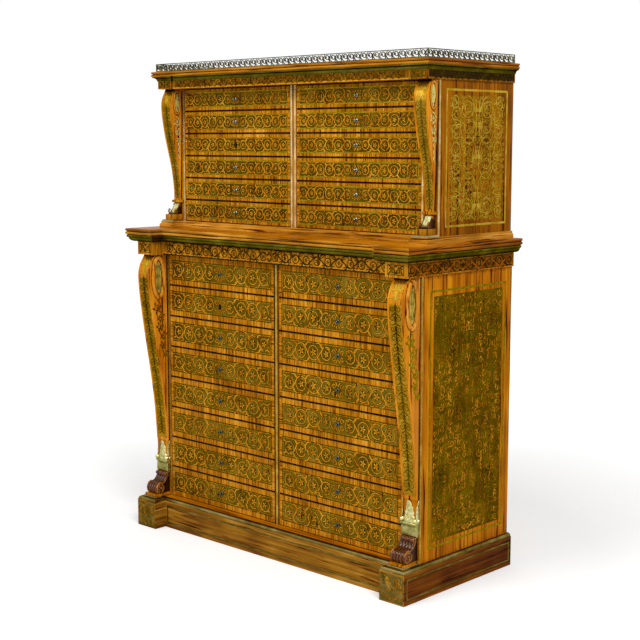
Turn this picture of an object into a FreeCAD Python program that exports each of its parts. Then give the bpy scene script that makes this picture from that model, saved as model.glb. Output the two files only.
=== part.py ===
import FreeCAD, Part
import math
import os
import re
from FreeCAD import Rotation, Vector

# Collector's cabinet in two stages: a chest of sixteen drawers on a breakfront plinth and a set-back
# upper chest of twelve drawers under a pierced gallery. Millimetres, +Z up, the front faces -Y.
# Depths are measured forward from the back plane, and every piece is mirrored about X = 0.
doc = FreeCAD.newDocument("collectors_cabinet")
dims = doc.addObject("Spreadsheet::Sheet", "dims")

SIZES = {
    # Whole object
    "half_depth": 260, "board": 18, "back_panel": 10, "strip": 1.2, "strip_width": 7, "lipping": 14,
    # Plinth and the brass moulding that tops it
    "plinth_half": 576, "plinth_top": 88, "plinth_block": 89, "plinth_block_depth": 504,
    "plinth_board_depth": 461, "plinth_inset": 14, "plinth_bead": 12, "lower_floor": 98,
    # Lower stage
    "lower_half": 560, "lower_depth": 420, "lower_ceiling": 905, "lower_rows": 8, "lower_inner": 9,
    "stile_edge": 496, "lower_dust": 8,
    # Lower frieze, waist moulding and waist slab
    "frieze_half": 566, "frieze_block": 76, "frieze_block_depth": 492, "frieze_board_depth": 450,
    "frieze_top": 947, "frieze_lid": 12, "waist_bead": 26, "slab_half": 596, "slab_ear": 128,
    "slab_ear_depth": 520, "slab_depth": 475, "slab_bottom": 970, "slab_top": 989,
    # Upper stage on its stepped base
    "base_half": 563, "base_block": 65, "base_block_depth": 402, "base_board_depth": 356,
    "upper_floor": 1009, "upper_half": 553, "upper_depth": 345, "upper_ceiling": 1435, "upper_rows": 6,
    "upper_inner": 12, "upper_dust": 6,
    # Upper frieze, cornice moulding, top slab and gallery
    "top_frieze_half": 558, "top_frieze_block": 65, "top_frieze_block_depth": 403,
    "top_frieze_board_depth": 398, "top_frieze_top": 1460, "top_frieze_lid": 10, "cornice_bead": 13,
    "cornice_half": 574, "cornice_depth": 419, "cornice_bottom": 1474, "cornice_top": 1490,
    "gallery_top": 1515, "gallery_plate": 2.5, "gallery_rail": 4, "gallery_pitch": 23, "gallery_inset": 12,
    "gallery_back": 8,
    # Lower consoles, their leaf caps, scroll feet and plates
    "console_centre": 532, "console_width": 54, "console_lip": 7, "console_sunk": 1.6, "console_foot": 282,
    "oval_rim": 9, "oval_proud": 3, "cap_bottom": 176, "cap_band": 36, "cap_leaf": 17, "plate_top": 102,
    "foot_slab": 6, "foot_reach": 64, "volute_radius": 12, "volute_proud": 2.5,
    # Upper consoles and their feet
    "upper_console_centre": 529, "upper_console_width": 48, "upper_console_narrow": 30,
    "upper_console_shoulder": 1350, "upper_console_lip": 6, "upper_console_foot": 1077,
    "upper_plate_top": 1014, "upper_plate_half": 26, "upper_foot_width": 38, "upper_cap_half": 23,
    "upper_cap_reach": 13, "upper_cap_rise": 9,
    # Drawers
    "front_thickness": 18, "front_gap": 0.8, "side_thickness": 10, "bottom_thickness": 6, "bottom_raise": 4,
    "box_back": 20, "run_gap": 0.5, "head_room": 14, "guide_height": 12, "knob_radius": 4.5,
    "knob_neck": 2.2, "knob_reach": 11, "lock_half": 25, "lock_depth": 8, "lock_drop": 16, "lock_top": 12,
    "bolt_half": 10, "bolt_thickness": 4, "bolt_length": 20, "bolt_top": 9.5, "keyhole_round": 5,
    "keyhole_slot": 2.6, "keyhole_drop": 9,
}
for row, (word, value) in enumerate(SIZES.items(), start=1):
    dims.set(f"A{row}", word)
    dims.set(f"B{row}", str(value))
    dims.setAlias(f"B{row}", word)
doc.recompute()

nodes = []


def bound(text):
    """Turns the sheet's words in a formula into references to its cells."""
    return re.sub(r"[a-z][a-z_]*", lambda word: "dims." + word.group(0), text)


def size(word):
    return float(dims.get(word))


def board(name, left, right, back, front, bottom, top):
    """A rectangular board between two X values, two depths from the back plane and two heights."""
    box = doc.addObject("Part::Box", name)
    box.setExpression("Length", bound(f"({right}) - ({left})"))
    box.setExpression("Width", bound(f"({front}) - ({back})"))
    box.setExpression("Height", bound(f"({top}) - ({bottom})"))
    box.setExpression(".Placement.Base.x", bound(left))
    box.setExpression(".Placement.Base.y", bound(f"half_depth - ({front})"))
    box.setExpression(".Placement.Base.z", bound(bottom))
    return box


def pair(name, inner, outer, back, front, bottom, top):
    """The same board on the right and on the left."""
    right = board(name + "_r", inner, outer, back, front, bottom, top)
    left = board(name + "_l", f"-({outer})", f"-({inner})", back, front, bottom, top)
    return [right, left]


def span(name, half, back, front, bottom, top):
    """A board that reaches the same way to both sides of the middle."""
    return [board(name, f"-({half})", half, back, front, bottom, top)]


def node(label, pieces):
    """Names one node: a single piece as it is, or a group of separate solids."""
    if len(pieces) == 1:
        whole = pieces[0]
    else:
        whole = doc.addObject("Part::Compound", label)
        whole.Links = pieces
    whole.Label = label
    nodes.append(whole)
    return whole


def solid(name, shape):
    """A form that is set from Part's own functions."""
    piece = doc.addObject("Part::Feature", name)
    piece.Shape = shape
    piece.Placement = FreeCAD.Placement()
    return piece


def place(x, depth, z):
    return Vector(x, size("half_depth") - depth, z)


def mirrored(shape):
    return shape.mirror(Vector(0, 0, 0), Vector(1, 0, 0))


# Moulded lengths. A profile lies in (out, up) coordinates against the wall line that it is planted on.
def profile_face(edges):
    return Part.Face(Part.Wire(Part.sortEdges(edges)[0]))


def line(start, end):
    return Part.LineSegment(Vector(*start, 0), Vector(*end, 0)).toShape()


def arc(start, through, end):
    return Part.Arc(Vector(*start, 0), Vector(*through, 0), Vector(*end, 0)).toShape()


def closed(corners):
    """The straight edges of a closed outline."""
    return [line(first, second) for first, second in zip(corners, corners[1:] + corners[:1])]


def breakfront(half, block, block_depth, board_depth):
    """Plan corners of a front whose end blocks stand forward, from right back round to left back."""
    inner = half - block
    right = [(half, 0), (half, block_depth), (inner, block_depth), (inner, board_depth)]
    return right + [(-x, depth) for x, depth in reversed(right)]


def straight_front(half, depth):
    return [(half, 0), (half, depth), (-half, depth), (-half, 0)]


def mitred_lengths(name, plan, face, bottom):
    """One moulded length along each side of a plan, mitred where two lengths meet."""
    corners = [place(x, depth, bottom) for x, depth in plan]
    reach = face.BoundBox.XMax
    rise = face.BoundBox.YMax
    ways = [(end - start).normalize() for start, end in zip(corners, corners[1:])]
    turns = [0] + [1 if before.cross(after).z < 0 else -1 for before, after in zip(ways, ways[1:])] + [0]
    pieces = []
    for index, way in enumerate(ways):
        start, end = corners[index], corners[index + 1]
        out = way.cross(Vector(0, 0, 1)) * -1
        turned = Rotation(out, Vector(0, 0, 1), way * -1, "XYZ")
        length = (end - start).Length + 2 * reach
        blank = face.copy()
        blank.Placement = FreeCAD.Placement(start - way * reach, turned)
        blank = blank.extrude(way * length)
        near, far = turns[index], turns[index + 1]
        far_out = end + (out + way * far) * reach
        near_out = start + (out - way * near) * reach
        mitre = Part.Face(Part.makePolygon([start, end, far_out, near_out, start]))
        prism = mitre.extrude(Vector(0, 0, rise))
        pieces.append(solid(f"{name}_{index + 1}", blank.common(prism).Solids[0]))
    return pieces


def ovolo(reach, rise, lip):
    """A quarter-round edge above a small upright lip."""
    across = reach - lip
    drop = rise - lip
    middle = (reach - across * (1 - 0.7071), lip + drop * 0.7071)
    return profile_face([
        line((0, 0), (reach, 0)), line((reach, 0), (reach, lip)),
        arc((reach, lip), middle, (lip, rise)), line((lip, rise), (0, rise)), line((0, rise), (0, 0)),
    ])


def reeds(reach, rise):
    """Two rounded reeds, one above the other."""
    half = rise / 2
    root = reach - 0.17 * half
    lower = arc((root, 0), (reach, half / 2), (root, half))
    upper = arc((root, half), (reach, half * 1.5), (root, rise))
    return profile_face([
        line((0, 0), (root, 0)), lower, upper, line((root, rise), (0, rise)), line((0, rise), (0, 0)),
    ])


def torus_on_ovolo(reach, rise):
    """A half-round roll carried on a swelling quarter round."""
    roll = rise * 0.42
    neck = reach - roll * 0.32
    foot = 4
    swell = arc((foot, 0), (neck * 0.72, (rise - roll) * 0.42), (neck, rise - roll))
    crown = arc((neck, rise - roll), (reach, rise - roll / 2), (neck, rise))
    return profile_face([
        line((0, 0), (foot, 0)), swell, crown, line((neck, rise), (0, rise)), line((0, rise), (0, 0)),
    ])


def cavetto(reach, rise):
    """A hollow quarter round that spreads upward to a thin fillet."""
    foot = 2
    fillet = rise - 3
    hollow = arc((foot, 0), (foot + (reach - foot) * 0.3, fillet * 0.7), (reach, fillet))
    return profile_face([
        line((0, 0), (foot, 0)), hollow, line((reach, fillet), (reach, rise)),
        line((reach, rise), (0, rise)), line((0, rise), (0, 0)),
    ])


def stepped(reach, rise):
    """Two square steps with a chamfer between them."""
    half = rise / 2
    step = reach - 4
    corners = [(0, 0), (reach, 0), (reach, half), (step, half + 4), (step, rise), (0, rise)]
    return profile_face(closed(corners))


# Plinth: a front board set back between two corner blocks, with side and back boards behind them.
plinth_inner = "plinth_half - plinth_block"
block_back = "plinth_block_depth - plinth_block"
node("plinth_boards",
     span("plinth_front", plinth_inner, "plinth_board_depth - board", "plinth_board_depth", "0",
          "plinth_top")
     + pair("plinth_side", "plinth_half - board", "plinth_half", "0", block_back, "0", "plinth_top")
     + span("plinth_back", "plinth_half - board", "0", "board", "0", "plinth_top"))
node("plinth_corner_blocks",
     pair("plinth_block", plinth_inner, "plinth_half", block_back, "plinth_block_depth", "0", "plinth_top"))

inset = size("plinth_inset")
plinth_line = breakfront(size("plinth_half") - inset, size("plinth_block") - 2 * inset,
                         size("plinth_block_depth") - inset, size("plinth_board_depth") - inset)
plinth_ovolo = ovolo(size("plinth_bead"), size("lower_floor") - size("plinth_top"), 3)
node("plinth_brass_moulding",
     mitred_lengths("plinth_moulding", plinth_line, plinth_ovolo, size("plinth_top")))

# Floor of the lower stage, with the wooden ledge that shows in front of the lowest drawers.
node("lower_bottom_board",
     span("lower_bottom", "plinth_half - plinth_inset", "0", "lower_depth", "plinth_top", "lower_floor")
     + span("lower_ledge", f"{plinth_inner} + plinth_inset", "lower_depth",
            "plinth_board_depth - plinth_inset", "plinth_top", "lower_floor"))


def carcass(stage, rows, inner_word, dust_word):
    """Sides, stiles, brass strips, partition, dustboards, guides and back of one stage."""
    half, depth = stage + "_half", stage + "_depth"
    floor, ceiling = stage + "_floor", stage + "_ceiling"
    pitch = f"({ceiling} - {floor}) / {stage}_rows"
    shelf_front = f"{depth} - front_thickness - 2"
    node(f"{stage}_sides", pair(f"{stage}_side", f"{half} - board", half, "0", depth, floor, ceiling))
    node(f"{stage}_stiles",
         pair(f"{stage}_stile", "stile_edge", f"{half} - board", shelf_front, depth, floor, ceiling))
    proud = f"{depth} + strip"
    strips = pair(f"{stage}_edge_strip", "stile_edge", "stile_edge + strip_width", depth, proud, floor,
                  ceiling)
    strips += pair(f"{stage}_corner_strip", half, f"{half} + strip", f"{depth} - strip_width", depth, floor,
                   ceiling)
    if stage == "lower":
        strips += span("lower_middle_strip", f"{inner_word} - front_gap", depth, proud, floor, ceiling)
    else:
        strips += pair("upper_middle_strip", f"{inner_word} - strip_width - front_gap",
                       f"{inner_word} - front_gap", depth, proud, floor, ceiling)
    node(f"{stage}_brass_strips", strips)
    node(f"{stage}_centre_partition",
         span(f"{stage}_partition", inner_word, "back_panel", depth, floor, ceiling))
    shelves = []
    for row in range(rows):
        level = f"{floor} + {row} * {pitch}"
        if row:
            bay = [inner_word, f"{half} - board", "back_panel", shelf_front, f"{level} - {dust_word}", level]
            shelves += notched_shelves(stage, row, rows, bay)
        shelves += pair(f"{stage}_guide_{row}", "stile_edge + run_gap", f"{half} - board", "back_panel",
                        shelf_front, level, f"{level} + guide_height")
    node(f"{stage}_dustboards", shelves)
    node(f"{stage}_back_panel",
         span(f"{stage}_back", f"{half} - board", "0", "back_panel", floor, ceiling))


# The drawers that lock, counted from the top of the left-hand column of each stage.
LOCKED_ROW = {"lower": 2, "upper": 3}


def notched_shelves(stage, row, rows, bay):
    """The dustboards of one level. The one above a lock has a notch that receives the bolt."""
    shelves = pair(f"{stage}_shelf_{row}", *bay)
    if rows - row + 1 != LOCKED_ROW[stage]:
        return shelves
    middle = f"({stage}_inner + stile_edge) / 2"
    notch = board(f"{stage}_mortise", f"-({middle}) - bolt_half - 2", f"-({middle}) + bolt_half + 2",
                  f"{bay[3]} - lock_depth - bolt_thickness", f"{bay[3]} + 2", f"{bay[4]} - 1",
                  f"{bay[5]} + 1")
    cut = doc.addObject("Part::Cut", f"{stage}_shelf_{row}_notched")
    cut.Base = shelves[1]
    cut.Tool = notch
    return [shelves[0], cut]


carcass("lower", int(size("lower_rows")), "lower_inner", "lower_dust")


def frieze(name, half, block, block_depth, board_depth, bottom, top, lid):
    """A frieze of boards: front between end blocks, sides, back rail and the ceiling of the drawer bay."""
    inner = f"{half} - {block}"
    behind = f"{block_depth} - {block}"
    hollow = f"{half} - board"
    node(name,
         span(f"{name}_front", inner, f"{board_depth} - board", board_depth, bottom, top)
         + pair(f"{name}_block", inner, half, behind, block_depth, bottom, top)
         + pair(f"{name}_side", hollow, half, "0", behind, bottom, top)
         + span(f"{name}_rail", hollow, "0", "board", bottom, top)
         + span(f"{name}_lid", hollow, "board", behind, bottom, f"{bottom} + {lid}")
         + span(f"{name}_soffit", inner, behind, f"{board_depth} - board", bottom, f"{bottom} + {lid}"))


frieze("lower_frieze", "frieze_half", "frieze_block", "frieze_block_depth", "frieze_board_depth",
       "lower_ceiling", "slab_bottom", "frieze_lid")

frieze_line = breakfront(size("frieze_half"), size("frieze_block"), size("frieze_block_depth"),
                         size("frieze_board_depth"))
node("waist_brass_moulding",
     mitred_lengths("waist_moulding", frieze_line,
                    torus_on_ovolo(size("waist_bead"), size("slab_bottom") - size("frieze_top")),
                    size("frieze_top")))

# Waist slab: a plain core with reeded lipping mitred round its breakfront edge.
lipping = size("lipping")
slab_line = breakfront(size("slab_half") - lipping, size("slab_ear") - 2 * lipping,
                       size("slab_ear_depth") - lipping, size("slab_depth") - lipping)
ear_inner = "slab_half - slab_ear + lipping"
node("waist_slab",
     span("slab_core", "slab_half - lipping", "0", "slab_depth - lipping", "slab_bottom", "slab_top")
     + pair("slab_ear_core", ear_inner, "slab_half - lipping", "slab_depth - lipping",
            "slab_ear_depth - lipping", "slab_bottom", "slab_top")
     + mitred_lengths("slab_lipping", slab_line, reeds(lipping, size("slab_top") - size("slab_bottom")),
                      size("slab_bottom")))

# Upper stage: stepped base moulding round a bottom board, then the carcass.
base_line = breakfront(size("base_half") - lipping, size("base_block") - 2 * lipping,
                       size("base_block_depth") - lipping, size("base_board_depth") - lipping)
node("upper_base_moulding",
     span("upper_bottom", "base_half - lipping", "0", "base_board_depth - lipping", "slab_top",
          "upper_floor")
     + pair("base_block_core", "base_half - base_block + lipping", "base_half - lipping",
            "base_board_depth - lipping", "base_block_depth - lipping", "slab_top", "upper_floor")
     + mitred_lengths("base_moulding", base_line, stepped(lipping, size("upper_floor") - size("slab_top")),
                      size("slab_top")))
carcass("upper", int(size("upper_rows")), "upper_inner", "upper_dust")
frieze("upper_frieze", "top_frieze_half", "top_frieze_block", "top_frieze_block_depth",
       "top_frieze_board_depth", "upper_ceiling", "cornice_bottom", "top_frieze_lid")

cornice_line = breakfront(size("top_frieze_half"), size("top_frieze_block"), size("top_frieze_block_depth"),
                          size("top_frieze_board_depth"))
node("cornice_brass_moulding",
     mitred_lengths("cornice_moulding", cornice_line,
                    cavetto(size("cornice_bead"), size("cornice_bottom") - size("top_frieze_top")),
                    size("top_frieze_top")))
top_line = straight_front(size("cornice_half") - lipping, size("cornice_depth") - lipping)
top_reeds = reeds(lipping, size("cornice_top") - size("cornice_bottom"))
node("cornice_slab",
     span("cornice_core", "cornice_half - lipping", "0", "cornice_depth - lipping", "cornice_bottom",
          "cornice_top")
     + mitred_lengths("cornice_lipping", top_line, top_reeds, size("cornice_bottom")))


# Gallery: thin brass plates pierced with a running scroll, along the front and both sides of the top.
def origin_plane(body, role):
    return next(feature for feature in body.Origin.OriginFeatures if feature.Role == role)


def sketch_on(body, role, name):
    sketch = body.newObject("Sketcher::SketchObject", name)
    sketch.AttachmentSupport = (origin_plane(body, role), [""])
    sketch.MapMode = "FlatFace"
    return sketch


def gallery_run(name, length, quarter_turn, corner):
    """One plate of the gallery, padded from its outline and pierced by a pattern of one scroll opening."""
    rise = size("gallery_top") - size("cornice_top")
    rail = size("gallery_rail")
    pitch = size("gallery_pitch")
    count = int((length - 2 * rail) // pitch)
    start = (length - count * pitch) / 2
    body = doc.addObject("PartDesign::Body", name)
    outline = sketch_on(body, "XZ_Plane", name + "_outline")
    corners = [Vector(0, 0, 0), Vector(length, 0, 0), Vector(length, rise, 0), Vector(0, rise, 0)]
    for first, second in zip(corners, corners[1:] + corners[:1]):
        outline.addGeometry(Part.LineSegment(first, second))
    plate = body.newObject("PartDesign::Pad", name + "_plate")
    plate.Profile = outline
    plate.setExpression("Length", bound("gallery_plate"))
    opening = sketch_on(body, "XZ_Plane", name + "_opening")
    low, high = rail, rise - rail
    tail = Vector(start + 3, low, 0)
    tip = Vector(start + pitch - 2, high, 0)
    lean = (tip - tail).cross(Vector(0, 0, 1)).normalize()
    middle = (tail + tip) * 0.5
    belly = middle + lean * 1.2
    heel = middle - lean * 4.8
    opening.addGeometry(Part.Arc(tail, belly, tip))
    opening.addGeometry(Part.LineSegment(tip, heel))
    opening.addGeometry(Part.LineSegment(heel, tail))
    doc.recompute()
    solid_before = plate.Shape.Volume
    piercing = body.newObject("PartDesign::Pocket", name + "_piercing")
    piercing.Profile = opening
    piercing.Type = "ThroughAll"
    piercing.Midplane = True
    doc.recompute()
    if piercing.Shape.Volume >= solid_before:
        raise SystemExit(name + ": the piercing removes nothing")
    repeat = body.newObject("PartDesign::LinearPattern", name + "_repeat")
    repeat.Originals = [piercing]
    repeat.Direction = (outline, ["H_Axis"])
    repeat.Length = pitch * (count - 1)
    repeat.Occurrences = count
    body.Tip = repeat
    turn = Rotation(Vector(0, 0, 1), 90 if quarter_turn else 0)
    body.Placement = FreeCAD.Placement(corner, turn)
    doc.recompute()
    return body


plate_thickness = size("gallery_plate")
gallery_half = size("cornice_half") - size("gallery_inset")
gallery_line = size("cornice_depth") - size("gallery_inset") - plate_thickness
gallery_side = gallery_line - size("gallery_back")
top = size("cornice_top")
node("gallery", [
    gallery_run("gallery_front", 2 * gallery_half, False, place(-gallery_half, gallery_line, top)),
    gallery_run("gallery_right", gallery_side, True,
                place(gallery_half - plate_thickness, gallery_line, top)),
    gallery_run("gallery_left", gallery_side, True, place(-gallery_half, gallery_line, top)),
])


# Consoles: S-scrolls seen from the side, with the profile drawn in (depth, height).
def side_profile(edges, centre, width):
    """Extrudes a side profile across the width of a piece that stands at a given X."""
    flat = profile_face(edges)
    turned = Rotation(Vector(0, -1, 0), Vector(0, 0, 1), Vector(-1, 0, 0), "XYZ")
    flat.Placement = FreeCAD.Placement(place(centre - width / 2, 0, 0), turned)
    return flat.extrude(Vector(width, 0, 0))


def leaving_arc(start, way, end):
    """An arc that leaves a point along a given way, and the way along which it arrives."""
    origin = Vector(*start, 0)
    chord = Vector(*end, 0) - origin
    across = Vector(-way.y, way.x, 0)
    radius = chord.dot(chord) / (2 * chord.dot(across))
    centre = origin + across * radius
    outward = (origin + chord * 0.5 - centre).normalize()
    crown = centre + outward * abs(radius)
    arrival = chord * (2 * chord.dot(way) / chord.dot(chord)) - way
    return arc(start, (crown.x, crown.y), end), arrival


def scroll_profile(wall, scroll, sunk=0):
    """The side profile of a console: a head, a belly and a tail that flow into each other."""
    head, belly, turn, foot = [(depth - sunk, height) for depth, height in scroll]
    head_arc, _ = leaving_arc(belly, Vector(0, 1, 0), head)
    belly_arc, way = leaving_arc(belly, Vector(0, -1, 0), turn)
    tail_arc, _ = leaving_arc(turn, way, foot)
    return [
        head_arc, belly_arc, tail_arc, line(foot, (wall, foot[1])),
        line((wall, foot[1]), (wall, head[1])), line((wall, head[1]), head),
    ]


def oval(depth, height, half_deep, half_high):
    """A tall oval in the side view, of two long and two short arcs that meet without a corner."""
    short_of = (half_deep + half_high - math.hypot(half_deep, half_high)) / 2
    back, front = depth - half_deep, depth + half_deep
    bottom, top = height - half_high, height + half_high
    low_back, high_back = [(back + short_of, z) for z in (bottom + short_of, top - short_of)]
    low_front, high_front = [(front - short_of, z) for z in (bottom + short_of, top - short_of)]
    return [
        arc(low_front, (front, height), high_front), arc(high_front, (depth, top), high_back),
        arc(high_back, (back, height), low_back), arc(low_back, (depth, bottom), low_front),
    ]


def cheek_rings(centre, width, depth, height, half_deep, half_high):
    """A raised oval ring on each cheek of a console."""
    proud, rim = size("oval_proud"), size("oval_rim")
    rings = []
    for side in (-1, 1):
        face = centre + side * (width + proud) / 2
        disc = side_profile(oval(depth, height, half_deep, half_high), face, proud)
        eye = side_profile(oval(depth, height, half_deep - rim, half_high - rim), face, proud)
        rings.append(disc.cut(eye).Solids[0])
    return rings


def left_and_right(name, shapes):
    """Every shape of a right-hand piece, and its mirror image on the left."""
    pieces = []
    for number, shape in enumerate(shapes, start=1):
        pieces.append(solid(f"{name}_{number}_r", shape))
        pieces.append(solid(f"{name}_{number}_l", mirrored(shape)))
    return pieces


# Lower consoles: two cheeks with rounded fronts and, sunk between them, the core that carries the inlay.
wall = size("lower_depth")
ceiling = size("lower_ceiling")
foot = size("console_foot")
centre = size("console_centre")
width = size("console_width")
lip = size("console_lip")
sunk = size("console_sunk")
scroll = [(470, ceiling), (499, 830), (484, 690), (431, foot)]
cheeks = [side_profile(scroll_profile(wall, scroll), centre + side * (width - lip) / 2, lip)
          for side in (-1, 1)]
core = side_profile(scroll_profile(wall, scroll, sunk), centre, width - 2 * lip)
rings = cheek_rings(centre, width, 459, 829, 31, 71)
node("lower_consoles", left_and_right("lower_console", cheeks + [core] + rings))


# Leaf caps: a gilt collar with a plain band below and, above it, pointed leaves that lean outward.
def pointed(middle, wide, bottom, top):
    """Corners of an upright leaf with straight sides and a pointed tip."""
    shoulder = bottom + (top - bottom) * 0.45
    return [(middle - wide / 2, bottom), (middle + wide / 2, bottom), (middle + wide / 2, shoulder),
            (middle, top), (middle - wide / 2, shoulder)]


cap_bottom = size("cap_bottom")
band_top = cap_bottom + size("cap_band")
leaf = size("cap_leaf")
core_front = 430
leaf_thickness = 2.5
band_front = core_front + 4
band = side_profile(closed([(wall, cap_bottom), (band_front, cap_bottom), (band_front, band_top),
                            (wall, band_top)]), centre, width + 2)
neck = side_profile(closed([(wall, band_top), (core_front, band_top), (core_front, foot), (wall, foot)]),
                    centre, width + 2 - 2 * leaf_thickness)
swell = side_profile(
    [line((core_front, band_top), (band_front, band_top)),
     arc((band_front, band_top), (core_front + 13, band_top + 40), (band_front, foot)),
     line((band_front, foot), (core_front, foot)), line((core_front, foot), (core_front, band_top))],
    centre, width + 2)
leaves = []
for step in (-1, 0, 1):
    front_view = [place(x, wall, height)
                  for x, height in pointed(centre + step * (leaf + 1), leaf, band_top, foot)]
    blade = Part.Face(Part.makePolygon(front_view + front_view[:1])).extrude(Vector(0, -width, 0))
    leaves.append(swell.common(blade).Solids[0])
for side in (-1, 1):
    blade = closed(pointed((wall + core_front) / 2 + 1, core_front - wall - 2, band_top, foot))
    leaves.append(side_profile(blade, centre + side * (width + 2 - leaf_thickness) / 2, leaf_thickness))
node("console_leaf_caps", left_and_right("leaf_cap", [band, neck] + leaves))

# Scroll feet: a carved scroll that runs forward to a volute, on a thin wooden slab.
sole = size("plate_top") + size("foot_slab")
volute_height = sole + 17
roll = side_profile(
    [line((wall, sole), (466, sole)), arc((466, sole), (480, volute_height), (464, sole + 33)),
     arc((464, sole + 33), (443, sole + 44), (436, cap_bottom)), line((436, cap_bottom), (wall, cap_bottom)),
     line((wall, cap_bottom), (wall, sole))],
    centre, width + 2)
volutes = []
for side in (-1, 1):
    proud = size("volute_proud")
    start = place(centre + side * (width / 2 + 1), 464, volute_height)
    volutes.append(Part.makeCylinder(size("volute_radius"), proud, start, Vector(side, 0, 0)))
foot_slabs = pair("foot_slab", "console_centre - console_width / 2 - 2",
                  "console_centre + console_width / 2 + 2", "lower_depth", "lower_depth + foot_reach",
                  "plate_top", "plate_top + foot_slab")
node("console_scroll_feet", left_and_right("scroll_foot", [roll] + volutes) + foot_slabs)

# Brass plates under the lower feet and under the feet of the upper consoles.
node("console_base_plates",
     pair("lower_plate", f"{plinth_inner} + plinth_inset", "plinth_half - plinth_inset",
          "lower_depth + strip", "plinth_block_depth - plinth_inset", "plinth_top", "plate_top")
     + pair("upper_plate", "upper_console_centre - upper_plate_half",
            "upper_console_centre + upper_plate_half", "upper_depth", "base_block_depth - 6", "upper_floor",
            "upper_plate_top"))

# Upper consoles narrow from top to bottom in front view as well as in side view.
wall = size("upper_depth")
ceiling = size("upper_ceiling")
foot = size("upper_console_foot")
centre = size("upper_console_centre")
width = size("upper_console_width")


def tapering(lip):
    """The front view of an upper console without its lips, as a prism as deep as the cornice."""
    wide = width / 2 - lip
    narrow = size("upper_console_narrow") / 2 - lip
    shoulder = size("upper_console_shoulder")
    right = [(wide, ceiling), (wide, shoulder), (narrow, foot)]
    corners = right + [(-x, height) for x, height in reversed(right)]
    front_view = [place(centre + x, wall, height) for x, height in corners + corners[:1]]
    return Part.Face(Part.makePolygon(front_view)).extrude(Vector(0, wall - size("cornice_depth"), 0))


scroll = [(376, ceiling), (396, 1376), (384, 1282), (351, foot)]
between_lips = tapering(size("upper_console_lip"))
cheeks = side_profile(scroll_profile(wall, scroll), centre, width).common(tapering(0)).cut(between_lips)
core = side_profile(scroll_profile(wall, scroll, sunk), centre, width).common(between_lips)
node("upper_consoles", left_and_right("upper_console", cheeks.Solids + core.Solids))

# Upper console feet: a moulded cap, a sloping face for the plaque and a square base block.
plate = size("upper_plate_top")
cap = foot - size("upper_cap_rise")
upper_foot = side_profile(
    [line((wall, plate), (391, plate)), line((391, plate), (391, plate + 17)),
     arc((391, plate + 17), (374, plate + 24), (356, cap)), line((356, cap), (wall, cap)),
     line((wall, cap), (wall, plate))],
    centre, size("upper_foot_width"))
upper_caps = pair("upper_foot_cap", "upper_console_centre - upper_cap_half",
                  "upper_console_centre + upper_cap_half", "upper_depth", "upper_depth + upper_cap_reach",
                  "upper_console_foot - upper_cap_rise", "upper_console_foot")
node("upper_console_feet", left_and_right("upper_foot", [upper_foot]) + upper_caps)


# Drawers: front, two sides, back and bottom, with a turned knob or a lock at the middle of the front.
def knob(name, side, stage, height):
    """A turned metal knob: a neck that swells to a rounded head, lofted from flats."""
    flats = 8
    reach = size("knob_reach")
    neck, head = size("knob_neck"), size("knob_radius")
    rings = [(0, neck), (reach - 0.8 * head, head), (reach, 0.55 * head)]
    middle = side * (size(f"{stage}_inner") + size("stile_edge")) / 2
    base = place(middle, size(f"{stage}_depth"), height)
    wires = []
    for forward, radius in rings:
        turn = [2 * math.pi * step / flats for step in range(flats + 1)]
        wires.append(Part.makePolygon([
            base + Vector(radius * math.cos(angle), -forward, radius * math.sin(angle)) for angle in turn]))
    return solid(name, Part.makeLoft(wires, True, True))


def keyhole(front, name, middle, depth, height):
    """Cuts a round-topped keyhole through a drawer front."""
    bore = doc.addObject("Part::Cylinder", name + "_bore")
    bore.Placement.Rotation = Rotation(Vector(1, 0, 0), -90)
    bore.setExpression("Radius", bound("keyhole_round / 2"))
    bore.setExpression("Height", bound("front_thickness + 2"))
    bore.setExpression(".Placement.Base.x", bound(middle))
    bore.setExpression(".Placement.Base.y", bound(f"half_depth - {depth} - 1"))
    bore.setExpression(".Placement.Base.z", bound(height))
    slot = board(name + "_slot", f"({middle}) - keyhole_slot / 2", f"({middle}) + keyhole_slot / 2",
                 f"{depth} - front_thickness - 1", f"{depth} + 1", f"({height}) - keyhole_drop", height)
    tools = doc.addObject("Part::Fuse", name + "_tools")
    tools.Base = bore
    tools.Tool = slot
    cut = doc.addObject("Part::Cut", name)
    cut.Base = front
    cut.Tool = tools
    return cut


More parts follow.
